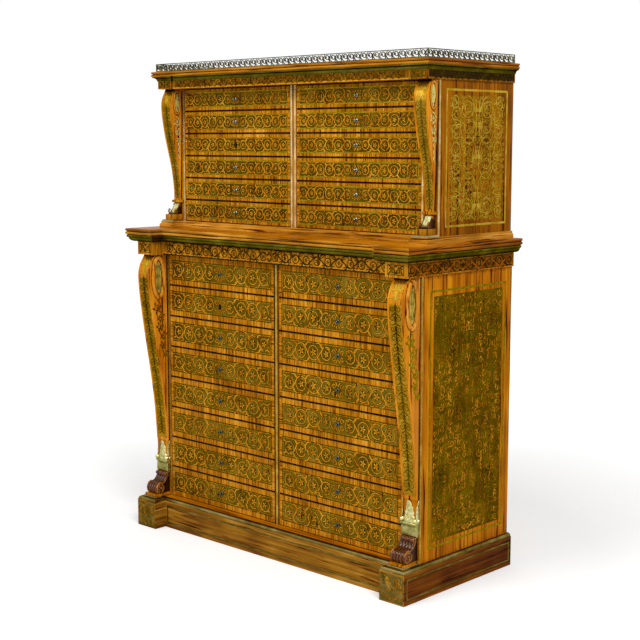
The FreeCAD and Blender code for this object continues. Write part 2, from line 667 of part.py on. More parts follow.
def drawer(stage, side_name, side, row, rows):
    """One drawer, counted from the top of its column."""
    name = f"{stage}_drawer_{side_name}_{row}"
    inner_word, depth = f"{stage}_inner", f"{stage}_depth"
    pitch = f"({stage}_ceiling - {stage}_floor) / {stage}_rows"
    level = f"{stage}_floor + {rows - row} * {pitch}"
    above = f"{level} + {pitch}"
    rim = f"{above} - head_room"
    box_front = f"{depth} - front_thickness"

    def piece(label, inner, outer, back, front, bottom, top_edge):
        if side < 0:
            inner, outer = f"-({outer})", f"-({inner})"
        return board(f"{name}_{label}", inner, outer, back, front, bottom, top_edge)

    near, far = f"{inner_word} + front_gap", "stile_edge - front_gap"
    front = piece("front", near, far, box_front, depth, f"{level} + front_gap", f"{above} - front_gap")
    low = f"{level} + run_gap"
    floor_bottom = f"{level} + bottom_raise"
    floor_top = f"{floor_bottom} + bottom_thickness"
    pieces = [
        piece("inner_side", near, f"{near} + side_thickness", "box_back", box_front, low, rim),
        piece("outer_side", f"{far} - side_thickness", far, "box_back", box_front, low, rim),
        piece("bottom", f"{near} + side_thickness", f"{far} - side_thickness", "box_back", box_front,
              floor_bottom, floor_top),
        piece("back", f"{near} + side_thickness", f"{far} - side_thickness", "box_back",
              "box_back + side_thickness", floor_top, rim),
    ]
    height = f"{level} + {pitch} / 2"
    if side < 0 and row == LOCKED_ROW[stage]:
        middle = f"-({inner_word} + stile_edge) / 2"
        front = keyhole(front, f"{name}_keyhole", middle, depth, height)
        case_back = f"{box_front} - lock_depth"
        pieces.append(board(f"{name}_lock_case", f"{middle} - lock_half", f"{middle} + lock_half", case_back,
                            box_front, f"{height} - lock_drop", f"{above} - lock_top"))
        bolt = board(f"{stage}_lock_bolt_plate", f"{middle} - bolt_half", f"{middle} + bolt_half",
                     f"{case_back} - bolt_thickness", case_back, f"{above} - bolt_top - bolt_length",
                     f"{above} - bolt_top")
        node(f"{stage}_lock_bolt", [bolt])
    else:
        row_height = (size(f"{stage}_ceiling") - size(f"{stage}_floor")) / rows
        knob_height = size(f"{stage}_floor") + (rows - row + 0.5) * row_height
        pieces.append(knob(f"{name}_knob", side, stage, knob_height))
    node(name, [front] + pieces)


for stage in ("lower", "upper"):
    rows = int(size(stage + "_rows"))
    for side_name, side in (("left", -1), ("right", 1)):
        for row in range(1, rows + 1):
            drawer(stage, side_name, side, row, rows)

doc.recompute()
faults = [item.Name for item in doc.Objects if "Invalid" in item.State or "Error" in item.State]
for item in nodes:
    if item.Shape.isNull() or not item.Shape.isValid():
        faults.append(item.Label)
if faults:
    raise SystemExit("faulty objects: " + ", ".join(faults))
os.makedirs("parts", exist_ok=True)
for item in nodes:
    item.Shape.exportStep(f"parts/{item.Label}.step")
print(len(nodes), "nodes,", sum(len(item.Shape.Solids) for item in nodes), "solids")
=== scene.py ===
import math

import bmesh
import bpy
from mathutils import Matrix, Vector


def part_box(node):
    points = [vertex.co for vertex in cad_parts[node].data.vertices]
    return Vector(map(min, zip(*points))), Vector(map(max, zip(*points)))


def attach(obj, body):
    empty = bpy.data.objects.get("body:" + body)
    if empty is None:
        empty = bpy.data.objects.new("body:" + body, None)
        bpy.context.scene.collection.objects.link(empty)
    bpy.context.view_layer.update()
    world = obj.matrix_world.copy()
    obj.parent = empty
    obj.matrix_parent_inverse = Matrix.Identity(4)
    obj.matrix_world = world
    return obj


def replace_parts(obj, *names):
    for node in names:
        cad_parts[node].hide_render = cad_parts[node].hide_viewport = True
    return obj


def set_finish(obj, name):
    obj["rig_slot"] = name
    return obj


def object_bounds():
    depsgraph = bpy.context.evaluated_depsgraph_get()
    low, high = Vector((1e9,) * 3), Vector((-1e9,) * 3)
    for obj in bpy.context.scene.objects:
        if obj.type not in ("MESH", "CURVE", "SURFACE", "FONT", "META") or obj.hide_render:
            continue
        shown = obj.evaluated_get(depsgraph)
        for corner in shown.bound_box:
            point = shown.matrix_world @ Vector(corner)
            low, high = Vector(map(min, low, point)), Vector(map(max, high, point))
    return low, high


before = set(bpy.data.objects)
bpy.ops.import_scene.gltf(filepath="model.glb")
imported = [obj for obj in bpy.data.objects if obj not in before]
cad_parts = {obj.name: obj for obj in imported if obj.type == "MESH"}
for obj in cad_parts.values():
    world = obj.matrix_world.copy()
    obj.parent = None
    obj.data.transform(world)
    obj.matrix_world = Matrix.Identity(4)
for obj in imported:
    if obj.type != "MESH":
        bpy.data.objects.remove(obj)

cad_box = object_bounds()

# Plinth: boards veneered with rosewood, a front board set back between two corner blocks that stand
# forward, glued and blocked at the corners. A flat brass line is let into the front and the sides, and a
# sheet of brass into the face of each block.
MM = 0.001
back_plane = cad_box[1].y


def spot(x, depth, height):
    """A point from millimetres: X, depth forward of the back plane, and height above the floor."""
    return Vector((x * MM, back_plane - depth * MM, height * MM))


def linear(code):
    """Turns an sRGB hex colour into linear red, green, blue and alpha."""
    parts = [int(code[start:start + 2], 16) / 255 for start in (1, 3, 5)]
    return [part / 12.92 if part < 0.0405 else ((part + 0.055) / 1.055) ** 2.4 for part in parts] + [1.0]


def add_node(finish, kind, sockets=None, stops=None, **settings):
    """Adds one node to a finish: its settings, its ramp stops, and a value or a link for each socket."""
    made = finish.node_tree.nodes.new("ShaderNode" + kind)
    for name, value in settings.items():
        setattr(made, name, value)
    for socket, value in (sockets or {}).items():
        if isinstance(value, bpy.types.NodeSocket):
            finish.node_tree.links.new(value, made.inputs[socket])
        else:
            made.inputs[socket].default_value = value
    if stops:
        ramp = made.color_ramp.elements
        ramp.remove(ramp[1])
        ramp[0].position, ramp[0].color = stops[0][0], linear(stops[0][1])
        for place, code in stops[1:]:
            ramp.new(place).color = linear(code)
    return made


def blank_finish(name):
    """A finish that has no nodes yet."""
    finish = bpy.data.materials.new(name)
    finish.use_nodes = True
    finish.node_tree.nodes.clear()
    return finish


def rosewood(name, across, along, run, tones, gloss=0.03, painted_relief=False):
    """Rosewood veneer, sawn through the log and french polished: golden brown leaves crossed by dark pigment
    lines that run with the grain, under a thin warm gloss. The grain runs up, level round the piece, or
    across the cabinet, and its figure has a size in millimetres across and along. True pores are too fine to
    show, so the lines are drawn coarser. On carving, the last flag paints shade into the hollows and a
    highlight onto the ridges, from the pointiness of the mesh."""
    finish = blank_finish(name)
    fine, long = 1 / (across * MM), 1 / (along * MM)
    grain = {"up": (fine, fine, long), "level": (long, long, fine), "across": (long, fine, fine)}[run]
    where = add_node(finish, "TexCoord").outputs["Object"]
    drawn = add_node(finish, "Mapping", {"Vector": where, "Scale": grain}).outputs["Vector"]
    figure = add_node(finish, "TexNoise", {"Vector": drawn, "Scale": 0.4, "Detail": 5, "Roughness": 0.62,
                                           "Distortion": 0.4}).outputs["Fac"]
    lines = add_node(finish, "TexNoise", {"Vector": drawn, "Scale": 1.0, "Detail": 3, "Roughness": 0.55,
                                          "Distortion": 0.3}).outputs["Fac"]
    shade = add_node(finish, "TexNoise", {"Vector": where, "Scale": 9.0, "Detail": 1}).outputs["Fac"]
    mixed = add_node(finish, "MixRGB", {"Fac": 0.3, "Color1": figure, "Color2": shade}).outputs["Color"]
    body = add_node(finish, "ValToRGB", {"Fac": mixed}, stops=tones).outputs["Color"]
    pigment = add_node(finish, "ValToRGB", {"Fac": lines},
                       stops=[(0.30, "#3C200A"), (0.37, "#9A6C3E"), (0.44, "#FFFFFF")]).outputs["Color"]
    colour = add_node(finish, "MixRGB", {"Fac": 1.0, "Color1": body, "Color2": pigment},
                      blend_type="MULTIPLY").outputs["Color"]
    # Painted shade in the hollows and painted highlight on the ridges of carving, from pointiness.
    if painted_relief:
        relief_highlight_and_shade = add_node(finish, "ValToRGB", {"Fac": add_node(finish, "NewGeometry").outputs["Pointiness"]},
                         stops=[(0.45, "#160C04"), (0.52, "#806438"), (0.6, "#FFFFFF")]).outputs["Color"]
        colour = add_node(finish, "MixRGB", {"Fac": 1.0, "Color1": colour, "Color2": relief_highlight_and_shade},
                          blend_type="MULTIPLY").outputs["Color"]
    sheen = add_node(finish, "MapRange", {"Value": lines, "To Min": 0.24 if painted_relief else 0.42,
                                          "To Max": 0.16 if painted_relief else 0.3}).outputs["Result"]
    pores = add_node(finish, "Bump", {"Height": lines, "Strength": 0.12,
                                      "Distance": 0.0004}).outputs["Normal"]
    shader = add_node(finish, "BsdfPrincipled", {
        "Base Color": colour, "Roughness": sheen, "Normal": pores, "IOR": 1.5, "Specular IOR Level": gloss,
        "Specular Tint": linear("#FFEAD4" if painted_relief else "#FFC678")})
    add_node(finish, "OutputMaterial", {"Surface": shader.outputs["BSDF"]})
    return finish


# Golden stripes for faces that stand upright, browner ones that lie level round the plinth, and a dark red
# veneer on its ends whose darkness is painted shade.
GOLDEN = [(0.28, "#6A3400"), (0.42, "#9C5600"), (0.54, "#BE7204"), (0.68, "#D68C14")]
BROWN = [(0.28, "#3C1E06"), (0.42, "#6E420C"), (0.56, "#98681A"), (0.70, "#BC8E3A")]
rosewood_upright = rosewood("rosewood_veneer_upright", 9, 220, "up", GOLDEN)
rosewood_level = rosewood("rosewood_veneer_level", 6, 160, "level", BROWN)
plinth_end_shade = rosewood("rosewood_plinth_ends_painted_shade", 6, 160, "level",
                      [(0.28, "#2C1000"), (0.42, "#542402"), (0.56, "#763E06"), (0.70, "#94580E")])


def dress(finish, *names):
    """Gives CAD nodes their finish."""
    for name in names:
        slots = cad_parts[name].data.materials
        slots.clear()
        slots.append(finish)


dress(rosewood_level, "plinth_boards", "plinth_corner_blocks")


def sheet_brass(name, tones, roughness, mottle):
    """Sheet brass, rolled, filed flush and waxed: a soft mirror, olive partly from wax and time and partly as
    a painted reflection of darker surroundings than the white room it mirrors.
    The mottle is the size in millimetres of its dull patches. Steel and iron are made the same way."""
    finish = blank_finish(name)
    where = add_node(finish, "TexCoord").outputs["Object"]
    patches = add_node(finish, "TexNoise", {"Vector": where, "Scale": 1 / (mottle * MM), "Detail": 4,
                                            "Roughness": 0.6}).outputs["Fac"]
    colour = add_node(finish, "ValToRGB", {"Fac": patches}, stops=tones).outputs["Color"]
    dull = add_node(finish, "MapRange", {"Value": patches, "To Min": roughness + 0.1,
                                         "To Max": roughness - 0.08}).outputs["Result"]
    dents = add_node(finish, "Bump", {"Height": patches, "Strength": 0.08,
                                      "Distance": 0.0004}).outputs["Normal"]
    shader = add_node(finish, "BsdfPrincipled", {
        "Base Color": colour, "Specular Tint": colour, "Metallic": 1.0, "Roughness": dull, "Normal": dents})
    add_node(finish, "OutputMaterial", {"Surface": shader.outputs["BSDF"]})
    return finish


def shades(dark, middle, light):
    """Places three tones of a finish on its ramp."""
    return [(0.3, dark), (0.5, middle), (0.7, light)]


# Brass near the floor, gone dull: a grey olive line with little shine.
brass_dull = sheet_brass("dull_brass_inlay", shades("#584A18", "#70602A", "#8A7A42"), 0.42, 40)


def edging(left, bottom, right, top, width):
    """A mitred rectangle of brass line, as pairs of inner and outer points."""
    outer = [(left, bottom), (right, bottom), (right, top), (left, top), (left, bottom)]
    inner = [(left + width, bottom + width), (right - width, bottom + width), (right - width, top - width),
             (left + width, top - width), (left + width, bottom + width)]
    return list(zip(inner, outer))


def plate(left, bottom, right, top):
    """A plain rectangle of sheet."""
    return [((left, top), (left, bottom)), ((right, top), (right, bottom))]


def alone(piece):
    """Makes a piece the active one and the only one selected."""
    bpy.ops.object.select_all(action="DESELECT")
    bpy.context.view_layer.objects.active = piece
    piece.select_set(True)


def blank(name, points, faces, edges=()):
    """A new piece from its points and faces, left active and alone selected."""
    mesh = bpy.data.meshes.new(name)
    mesh.from_pydata(points, edges, faces)
    piece = bpy.data.objects.new(name, mesh)
    bpy.context.collection.objects.link(piece)
    alone(piece)
    return piece


def fit(piece, finish, slot, body="cabinet"):
    """Polishes a piece and fixes it to its body."""
    piece.data.materials.append(finish)
    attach(piece, body)
    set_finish(piece, slot)
    return piece


def inlay(name, strips, place, facing, finish, slot, body="cabinet", proud=0.25):
    """Sheet cut to strips and let into a face. Each strip is a row of paired edge points in millimetres,
    place puts them on the face, and the sheet stands proud by a hair in the facing direction. Strips that
    cross lie at slightly different levels, as filed sheet does."""
    points, faces = [], []
    for number, pairs in enumerate(strips):
        start = len(points)
        lift = facing * (0.15 * MM * (0.618 * number % 1))
        for left, right in pairs:
            points += [place(*left) + lift, place(*right) + lift]
        for step in range(start, len(points) - 2, 2):
            first, second, third, fourth = points[step:step + 4]
            normal = (second - first).cross(third - first) + (third - fourth).cross(second - fourth)
            ring = (step, step + 1, step + 3, step + 2)
            faces.append(ring if normal.dot(facing) > 0 else ring[::-1])
    piece = blank(name, points, faces)
    sheet = piece.modifiers.new("sheet", "SOLIDIFY")
    sheet.thickness = proud * MM
    sheet.offset = 1
    bpy.ops.object.modifier_apply(modifier="sheet")
    return fit(piece, finish, slot, body)


FRONT, RIGHT, LEFT = Vector((0, -1, 0)), Vector((1, 0, 0)), Vector((-1, 0, 0))
SIDES = ((1, "right", RIGHT), (-1, "left", LEFT))


def front_face(depth, middle=0, height=0):
    """Puts a flat pattern on a face that looks forward."""
    return lambda across, up: spot(middle + across, depth, height + up)


def side_face(half, middle, height, side):
    """Puts a flat pattern on a face that looks to the right or to the left."""
    return lambda across, up: spot(side * half, middle + across, height + up)


plinth_half, plinth_top, plinth_depth, block_depth, block_width = 576, 88, 461, 504, 89
line_width, line_inset, line_end, line_front = 5, 14, 10, 12
panel_margin, panel_drop, veneer_margin = 4, 6, 1
line_half = plinth_half - block_width - line_end
block_middle, panel_half = plinth_half - block_width / 2, block_width / 2 - panel_margin
inlay("plinth_front_line", [edging(-line_half, line_inset, line_half, plinth_top - line_inset, line_width)],
      front_face(plinth_depth), FRONT, brass_dull, "brass")
for side, side_name, facing in SIDES:
    face = side_face(plinth_half, 0, 0, side)
    inlay(f"plinth_block_panel_{side_name}",
          [plate(-panel_half, panel_margin, panel_half, plinth_top - panel_drop)],
          front_face(block_depth, side * block_middle), FRONT, brass_dull, "brass")
    # A thin dark veneer on each side of the plinth, its darkness painted shade.
    inlay(f"plinth_side_veneer_{side_name}",
          [plate(veneer_margin, veneer_margin, block_depth - veneer_margin, plinth_top - veneer_margin)],
          face, facing, plinth_end_shade, "rosewood", proud=0.12)
    inlay(f"plinth_side_line_{side_name}",
          [edging(line_end, line_inset, block_depth - line_front, plinth_top - line_inset, line_width)],
          face, facing, brass_dull, "brass")

# Brass moulding of the plinth: a cast and drawn ovolo in lengths, mitred at every turn of the plan and
# pinned down on the top edge of the plinth, where it hides the joint with the chest above. Waxed brass,
# brown with a soft highlight along its round.
brass_plinth = sheet_brass("waxed_brass_ovolo", shades("#5C5022", "#7A6A36", "#9A8A54"), 0.3, 60)


def outward(angle):
    """Turns every face of the active piece outwards, and shades smooth where faces meet below an angle."""
    bpy.ops.object.mode_set(mode="EDIT")
    bpy.ops.mesh.select_all(action="SELECT")
    bpy.ops.mesh.normals_make_consistent(inside=False)
    bpy.ops.object.mode_set(mode="OBJECT")
    bpy.ops.object.shade_smooth_by_angle(angle=math.radians(angle))


def moulding(name, plan, profile, bottom, finish, slot):
    """A moulded length that follows a plan of (X, depth) corners, mitred at every turn. The profile is a row
    of (out, up) points in millimetres from the wall line."""
    ways = [(Vector(end) - Vector(start)).normalized() for start, end in zip(plan, plan[1:])]
    outs = [Vector((-way.y, way.x)) for way in ways]
    points = []
    for step, corner in enumerate(plan):
        first, second = outs[max(step - 1, 0)], outs[min(step, len(outs) - 1)]
        mitre = (first + second) / (1 + first.dot(second))
        points += [spot(corner[0] + out * mitre.x, corner[1] + out * mitre.y, bottom + up)
                   for out, up in profile]
    size = len(profile)
    faces = [(ring * size + step, ring * size + (step + 1) % size, (ring + 1) * size + (step + 1) % size,
              (ring + 1) * size + step) for ring in range(len(plan) - 1) for step in range(size)]
    faces += [tuple(range(size)), tuple(range(len(points) - size, len(points)))]
    piece = blank(name, points, faces)
    outward(40)
    return fit(piece, finish, slot)


def breakfront(half, block, block_depth, board_depth):
    """Plan corners of a front whose end blocks stand forward, from the left back round to the right back."""
    inner = half - block
    right = [(inner, board_depth), (inner, block_depth), (half, block_depth), (half, 0)]
    return [(-x, depth) for x, depth in reversed(right)] + right


def quarter(centre, wide, tall, start, end, steps=8):
    """Points of a round stretch of a profile, between two angles in degrees."""
    turns = [math.radians(start + (end - start) * step / steps) for step in range(steps + 1)]
    return [(centre[0] + wide * math.cos(turn), centre[1] + tall * math.sin(turn)) for turn in turns]


plinth_inset = 14
ovolo = [(0, 0), (12, 0), (12, 2)] + quarter((3, 3), 9, 7, 0, 90) + [(0, 10)]
plinth_plan = breakfront(plinth_half - plinth_inset, block_width - 2 * plinth_inset,
                         block_depth - plinth_inset, plinth_depth - plinth_inset)
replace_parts(moulding("plinth_ovolo", plinth_plan, ovolo, plinth_top, brass_plinth, "brass"),
            "plinth_brass_moulding")

# Carcass of the lower chest: two sides, stiles behind the consoles and a centre partition in veneered
# rosewood, with dustboards, guides and back panel of plain lining wood housed between them. The lining wood
# is planed and unpolished, paler and quieter than the veneer.
dress(rosewood_upright, "lower_sides", "lower_stiles", "lower_centre_partition")
rosewood_slab = rosewood("rosewood_veneer_across", 9, 300, "across", GOLDEN, 0.08)
dress(rosewood_slab, "lower_bottom_board")
LINING = [(0.3, "#8A6236"), (0.45, "#A87C48"), (0.6, "#BE955E"), (0.75, "#CCA772")]
lining_wood = rosewood("planed_lining_wood", 4, 200, "across", LINING)
dress(lining_wood, "lower_dustboards", "lower_back_panel")

# Side panels: a brass line frames a field of marquetry. Brass and rosewood sheet are sawn in one packet, so
# that each fits the other, and glued down flush: columns of small scrolls with laced bands over them,
# mirrored about the upright middle line. The blocks of the plinth carry a small field of the same scrolls.


def spiral(centre, radius, inner, start, turns, steps):
    """Points of a scroll that winds in from radius to inner. Turns below zero wind clockwise."""
    path = []
    for step in range(steps + 1):
        share = step / steps
        reach = radius + (inner - radius) * share
        angle = start + 2 * math.pi * turns * share
        path.append((centre[0] + reach * math.cos(angle), centre[1] + reach * math.sin(angle)))
    return path


def bow(start, end, swell, steps=6):
    """Points of a bowed line. The swell is its rise to the left, as a share of its length."""
    across, up = end[0] - start[0], end[1] - start[1]
    path = []
    for step in range(steps + 1):
        share = step / steps
        lift = 4 * swell * share * (1 - share)
        path.append((start[0] + across * share - up * lift, start[1] + up * share + across * lift))
    return path


def strip(path, width):
    """Cuts a strip along a path. The width is a function of the share of the path."""
    pairs = []
    last = len(path) - 1
    for step, (across, up) in enumerate(path):
        before, after = path[max(step - 1, 0)], path[min(step + 1, last)]
        way = Vector((after[0] - before[0], after[1] - before[1])).normalized()
        half = width(step / last) / 2
        pairs.append(((across - way.y * half, up + way.x * half), (across + way.y * half, up - way.x * half)))
    return pairs


def taper(wide, thin):
    """A width that runs evenly from wide to thin."""
    return lambda share: wide + (thin - wide) * share


def leaf_width(wide):
    """A width that swells from a point and closes to a point."""
    return lambda share: 0.3 + wide * math.sin(math.pi * (0.08 + 0.92 * share) ** 0.8)


def leaf(start, end, swell, wide, steps=5):
    """A bowed leaf from its root to its tip."""
    return strip(bow(start, end, swell, steps), leaf_width(wide))


def around(centre, radius, angle):
    """The point at an angle on a circle."""
    return centre[0] + radius * math.cos(angle), centre[1] + radius * math.sin(angle)


def flipped(strips):
    """The same strips on the other side of the middle line."""
    return [[((-right[0], right[1]), (-left[0], left[1])) for left, right in one] for one in strips]


def curl(centre, radius, start, sense, weight):
    """A small scroll that winds once round, with two leaves on its back."""
    made = [strip(spiral(centre, radius, 0.32 * radius, start, 1.15 * sense, 11),
                  taper(weight, 0.6 * weight))]
    for share in (0.5, 2.2):
        angle = start + sense * share
        made.append(leaf(around(centre, radius, angle), around(centre, 1.55 * radius, angle - 0.5 * sense),
                         -0.2 * sense, 1.3 * weight, 3))
    return made


def arabesque(half, rise, columns, rows, weight):
    """A field mirrored about its upright middle line: columns of small scrolls, with a fleck beside each."""
    side = []
    pitch_across, pitch_up = half / columns, 2 * rise / rows
    for column in range(columns):
        across = (column + 0.5) * pitch_across
        for row in range(rows):
            sense = 1 if (row + column) % 2 else -1
            size = (0.38 + 0.07 * math.sin(1.7 * row + 2.3 * column)) * min(pitch_across, pitch_up)
            stray = (math.sin(12.9 * row + 78.2 * column), math.sin(39.3 * row + 11.1 * column))
            centre = (across + 0.1 * (sense + stray[0]) * pitch_across,
                      -rise + (row + 0.5 + 0.22 * stray[1] * min(1, row, rows - 1 - row)) * pitch_up)
            side += curl(centre, size, 1.4 * row + 0.9 * column, sense, weight)
            beside = (across - 0.42 * sense * pitch_across, centre[1] - 0.2 * pitch_up)
            side.append(leaf(beside, (beside[0] + 0.1 * sense * pitch_across, centre[1] + 0.45 * pitch_up),
                             0.2 * sense, 1.1 * weight, 3))
    return side + flipped(side)


def palmette(root, reach, up, weight, leaves=4):
    """Half of a fan of leaves that opens upward or downward from a root on the middle line."""
    made = []
    for number in range(leaves):
        angle = math.radians(8 + 24 * number)
        size = reach * (1 - 0.12 * number)
        tip = (root[0] + size * math.sin(angle), root[1] + up * size * math.cos(angle))
        made.append(leaf(root, tip, -0.12 * up, 1.7 * weight, 5))
    return made


def hoop(centre, wide, tall, weight):
    """An oval band."""
    turns = [math.pi * step / 10 for step in range(21)]
    return strip([(centre[0] + wide * math.cos(turn), centre[1] + tall * math.sin(turn)) for turn in turns],
                 taper(weight, weight))


def strapwork(half, rise, waves, weight):
    """Bands laced over a field: a chain of hoops on each side of the middle, scrolls outside them, fans up
    the middle, and a fan between large scrolls at the top and the bottom."""
    side = []
    pitch = 1.7 * rise / waves
    for turn in range(waves):
        level = (turn + 0.5) * pitch - 0.85 * rise
        side += [hoop((0.33 * half, level), 0.3 * half, 0.6 * pitch, weight),
                 hoop((0.33 * half, level), 0.17 * half, 0.32 * pitch, 0.8 * weight)]
        side += palmette((0.01 * half, level), 0.4 * pitch, 1 if turn % 2 else -1, 0.8 * weight)
        for up in (1, -1):
            side.append(strip(spiral((0.76 * half, level + up * 0.25 * pitch), 0.2 * half, 0.05 * half,
                                     -up * math.pi / 2, 1.6 * up, 20), taper(1.1 * weight, 0.7 * weight)))
            side.append(leaf((0.6 * half, level), (0.94 * half, level + up * 0.06 * pitch), 0.1 * up,
                             1.6 * weight))
    for up in (-1, 1):
        side += palmette((0.01 * half, up * (rise - 0.34 * half)), 0.32 * half, up, weight, 4)
        for across, size, turns in ((0.38, 0.26, 2.2), (0.83, 0.16, 1.5)):
            side.append(strip(spiral((across * half, up * (rise - 1.05 * size * half)), size * half,
                                     0.2 * size * half, up * math.pi / 2, turns * up, 26),
                              taper(1.2 * weight, 0.8 * weight)))
    return side + flipped(side)


# The ground is a brown olive brass, the frame line a clearer yellow, the laced bands between the two. The
# scrolls are rosewood in strong random patches, some as dark as the ground.
brass_sheet = sheet_brass("brass_sheet_inlay", shades("#564204", "#6E5606", "#886E10"), 0.4, 60)
brass_line = sheet_brass("brass_line_inlay", shades("#7C6A0A", "#968216", "#B29E30"), 0.36, 20)
brass_laced = sheet_brass("brass_laced_bands", shades("#685408", "#806A0E", "#9A841E"), 0.36, 20)
dim_scroll_wood = rosewood("rosewood_side_scrolls", 6, 40, "up",
                           [(0.36, "#3E2A02"), (0.44, "#764A02"), (0.52, "#A86A08"), (0.61, "#D0901E")])


def side_panel(stage, half, back, front, bottom, top, margin, columns, rows, waves, ground, scrolls, bands,
               frame_line):
    """Frame line and marquetry field on both sides of one stage, each in its finish and slot."""
    border, stem, scroll_margin, band_margin = 6, 2.6, 4, 6
    middle, height = (back + front) / 2, (bottom + top) / 2
    wide, tall = (front - back) / 2, (top - bottom) / 2
    field_wide, field_tall = wide - border - margin, tall - border - margin
    fine = arabesque(field_wide - scroll_margin, field_tall - scroll_margin, columns, rows, stem)
    laced = strapwork(field_wide - band_margin, field_tall - band_margin, waves, 0.8 * stem)
    for side, side_name, facing in SIDES:
        face = side_face(half, middle, height, side)
        name = f"{stage}_side_{side_name}"
        inlay(name + "_frame_line", [edging(-wide, -tall, wide, tall, border)], face, facing, *frame_line)
        if ground:
            inlay(name + "_field", [plate(-field_wide, -field_tall, field_wide, field_tall)], face, facing,
                  *ground)
        inlay(name + "_scrolls", fine, face, facing, *scrolls, proud=0.45)
        inlay(name + "_bands", laced, face, facing, *bands, proud=0.65)


side_panel("lower", half=560, back=28, front=382, bottom=131, top=863, margin=11, columns=7, rows=30, waves=5,
           ground=(brass_sheet, "brass"), scrolls=(dim_scroll_wood, "rosewood"), bands=(brass_laced, "brass"),
           frame_line=(brass_line, "brass"))
for side, side_name, facing in SIDES:
    inlay(f"plinth_block_scrolls_{side_name}", arabesque(half=37, rise=35, columns=2, rows=4, weight=2.2),
          front_face(block_depth, side * block_middle, plinth_top / 2), FRONT, dim_scroll_wood, "rosewood",
          proud=0.45)

# Brass strips: drawn flat strip pinned to the front edges of stiles, partition and sides, coloured bright
# all along as a painted reflection. Painted shadow, almost black, runs down both edges of the middle strip.
# Bright brass whose pale tone is a painted reflection.
brass_strip = sheet_brass("brass_edge_strip_painted_reflection", shades("#967424", "#B4923A", "#CEB05E"), 0.6, 40)
dress(brass_strip, "lower_brass_strips")
# Near-black wood: painted shadow in joints and grooves.
edge_shadow = rosewood("rosewood_painted_joint_shadow", 4, 40, "up", shades("#1A0E04", "#2A1A08", "#3E290E"))
strip_low, strip_high, strip_depth, strip_half, joint_half = 98, 905, 421.2, 6.5, 1.6
# Painted shadow down both edges of the middle strip.
inlay("lower_middle_strip_shadow_edges", [plate(side * strip_half - joint_half, strip_low,
                                         side * strip_half + joint_half, strip_high) for side in (-1, 1)],
      front_face(strip_depth), FRONT, edge_shadow, "rosewood")

# Drawers of the lower chest: rosewood fronts cross-banded at the edges, a brass line, and a panel of brass
# sheet cut through with rosewood scrolls in dark rims. The boxes behind are plain lining wood, and the knobs
# turned steel. One front has an iron escutcheon in place of its knob, with a lock case screwed behind it.


def block(name, low, high):
    """A rectangular blank between two corners."""
    bpy.ops.object.select_all(action="DESELECT")
    bpy.ops.mesh.primitive_cube_add(size=1, location=(low + high) / 2, scale=high - low)
    piece = bpy.context.object
    piece.name = name
    piece.data.name = name
    bpy.ops.object.transform_apply(location=True, rotation=True, scale=True)
    return piece


def pick(piece, wanted):
    """In edit mode, selects the faces whose middle and normal are wanted."""
    bpy.ops.mesh.select_all(action="DESELECT")
    mesh = bmesh.from_edit_mesh(piece.data)
    mesh.faces.ensure_lookup_table()
    for face in mesh.faces:
        face.select_set(wanted(face.calc_center_median(), face.normal))
    bmesh.update_edit_mesh(piece.data)


def paint(piece, slot_number):
    """In edit mode, gives the selected faces one of the finishes of the piece."""
    piece.active_material_index = slot_number
    bpy.ops.object.material_slot_assign()


# Cross-banding shows short lively stripes square to each edge, and its softened edges are painted dark as
# the shade in the gaps between drawers. The brass ground has broad dull patches inside an olive line.
# Scrolls are a bright orange brown, in saw cuts filled so dark that they draw every stem.
CROSSBAND = [(0.30, "#663600"), (0.43, "#965A04"), (0.54, "#BC7A12"), (0.67, "#DE9C30")]
crossband_sides = rosewood("rosewood_crossband_upright", 3, 60, "up", CROSSBAND)
crossband_ends = rosewood("rosewood_crossband_level", 3, 60, "level", CROSSBAND)
# Painted shade for the bevelled edges that line the gaps between drawers.
painted_gap_shade = rosewood("rosewood_rubbed_edge", 4, 60, "up", shades("#2C2008", "#42320E", "#5C4818"))
brass_olive = sheet_brass("olive_brass_line", shades("#3E3604", "#524A0A", "#6A6016"), 0.45, 20)
brass_panel = sheet_brass("brass_drawer_panel", shades("#5C480C", "#766014", "#927A26"), 0.4, 70)
# Dark fill of the saw cuts, also used for the painted shadow under the lower frieze.
mastic_and_painted_shadow = sheet_brass("dark_cut_lines_and_painted_shadow", shades("#2A1E02", "#3A2C06", "#4E3E0C"), 0.5, 10)
scroll_wood = rosewood("rosewood_cut_scrolls", 6, 40, "up",
                       [(0.3, "#925808"), (0.45, "#B87812"), (0.6, "#CE9020"), (0.75, "#DEA63C")])


def drawer_front(name, low, high, band):
    """A front with softened edges and a mitred cross-band, whose grain runs square to each edge."""
    piece = block(name, low, high)
    for finish in (crossband_sides, crossband_ends, painted_gap_shade):
        piece.data.materials.append(finish)
    bpy.ops.object.mode_set(mode="EDIT")
    bpy.ops.mesh.select_mode(type="FACE")
    bpy.ops.mesh.select_all(action="SELECT")
    # Every face first takes the dark edge finish, painted shade that stays on the bevels.
    paint(piece, 2)
    bpy.ops.mesh.bevel(offset=1.6 * MM, offset_type="OFFSET", segments=2, affect="EDGES")
    pick(piece, lambda centre, normal: normal.y < -0.99)
    paint(piece, 0)
    bpy.ops.mesh.inset(thickness=band * MM)
    pick(piece, lambda centre, normal: normal.y < -0.99 and abs(centre.y - low.y) < 1e-5
         and min(centre.x - low.x, high.x - centre.x) < band * MM)
    paint(piece, 1)
    bpy.ops.object.mode_set(mode="OBJECT")
    return piece


lining_walls = rosewood("planed_drawer_walls", 4, 200, "level", LINING)


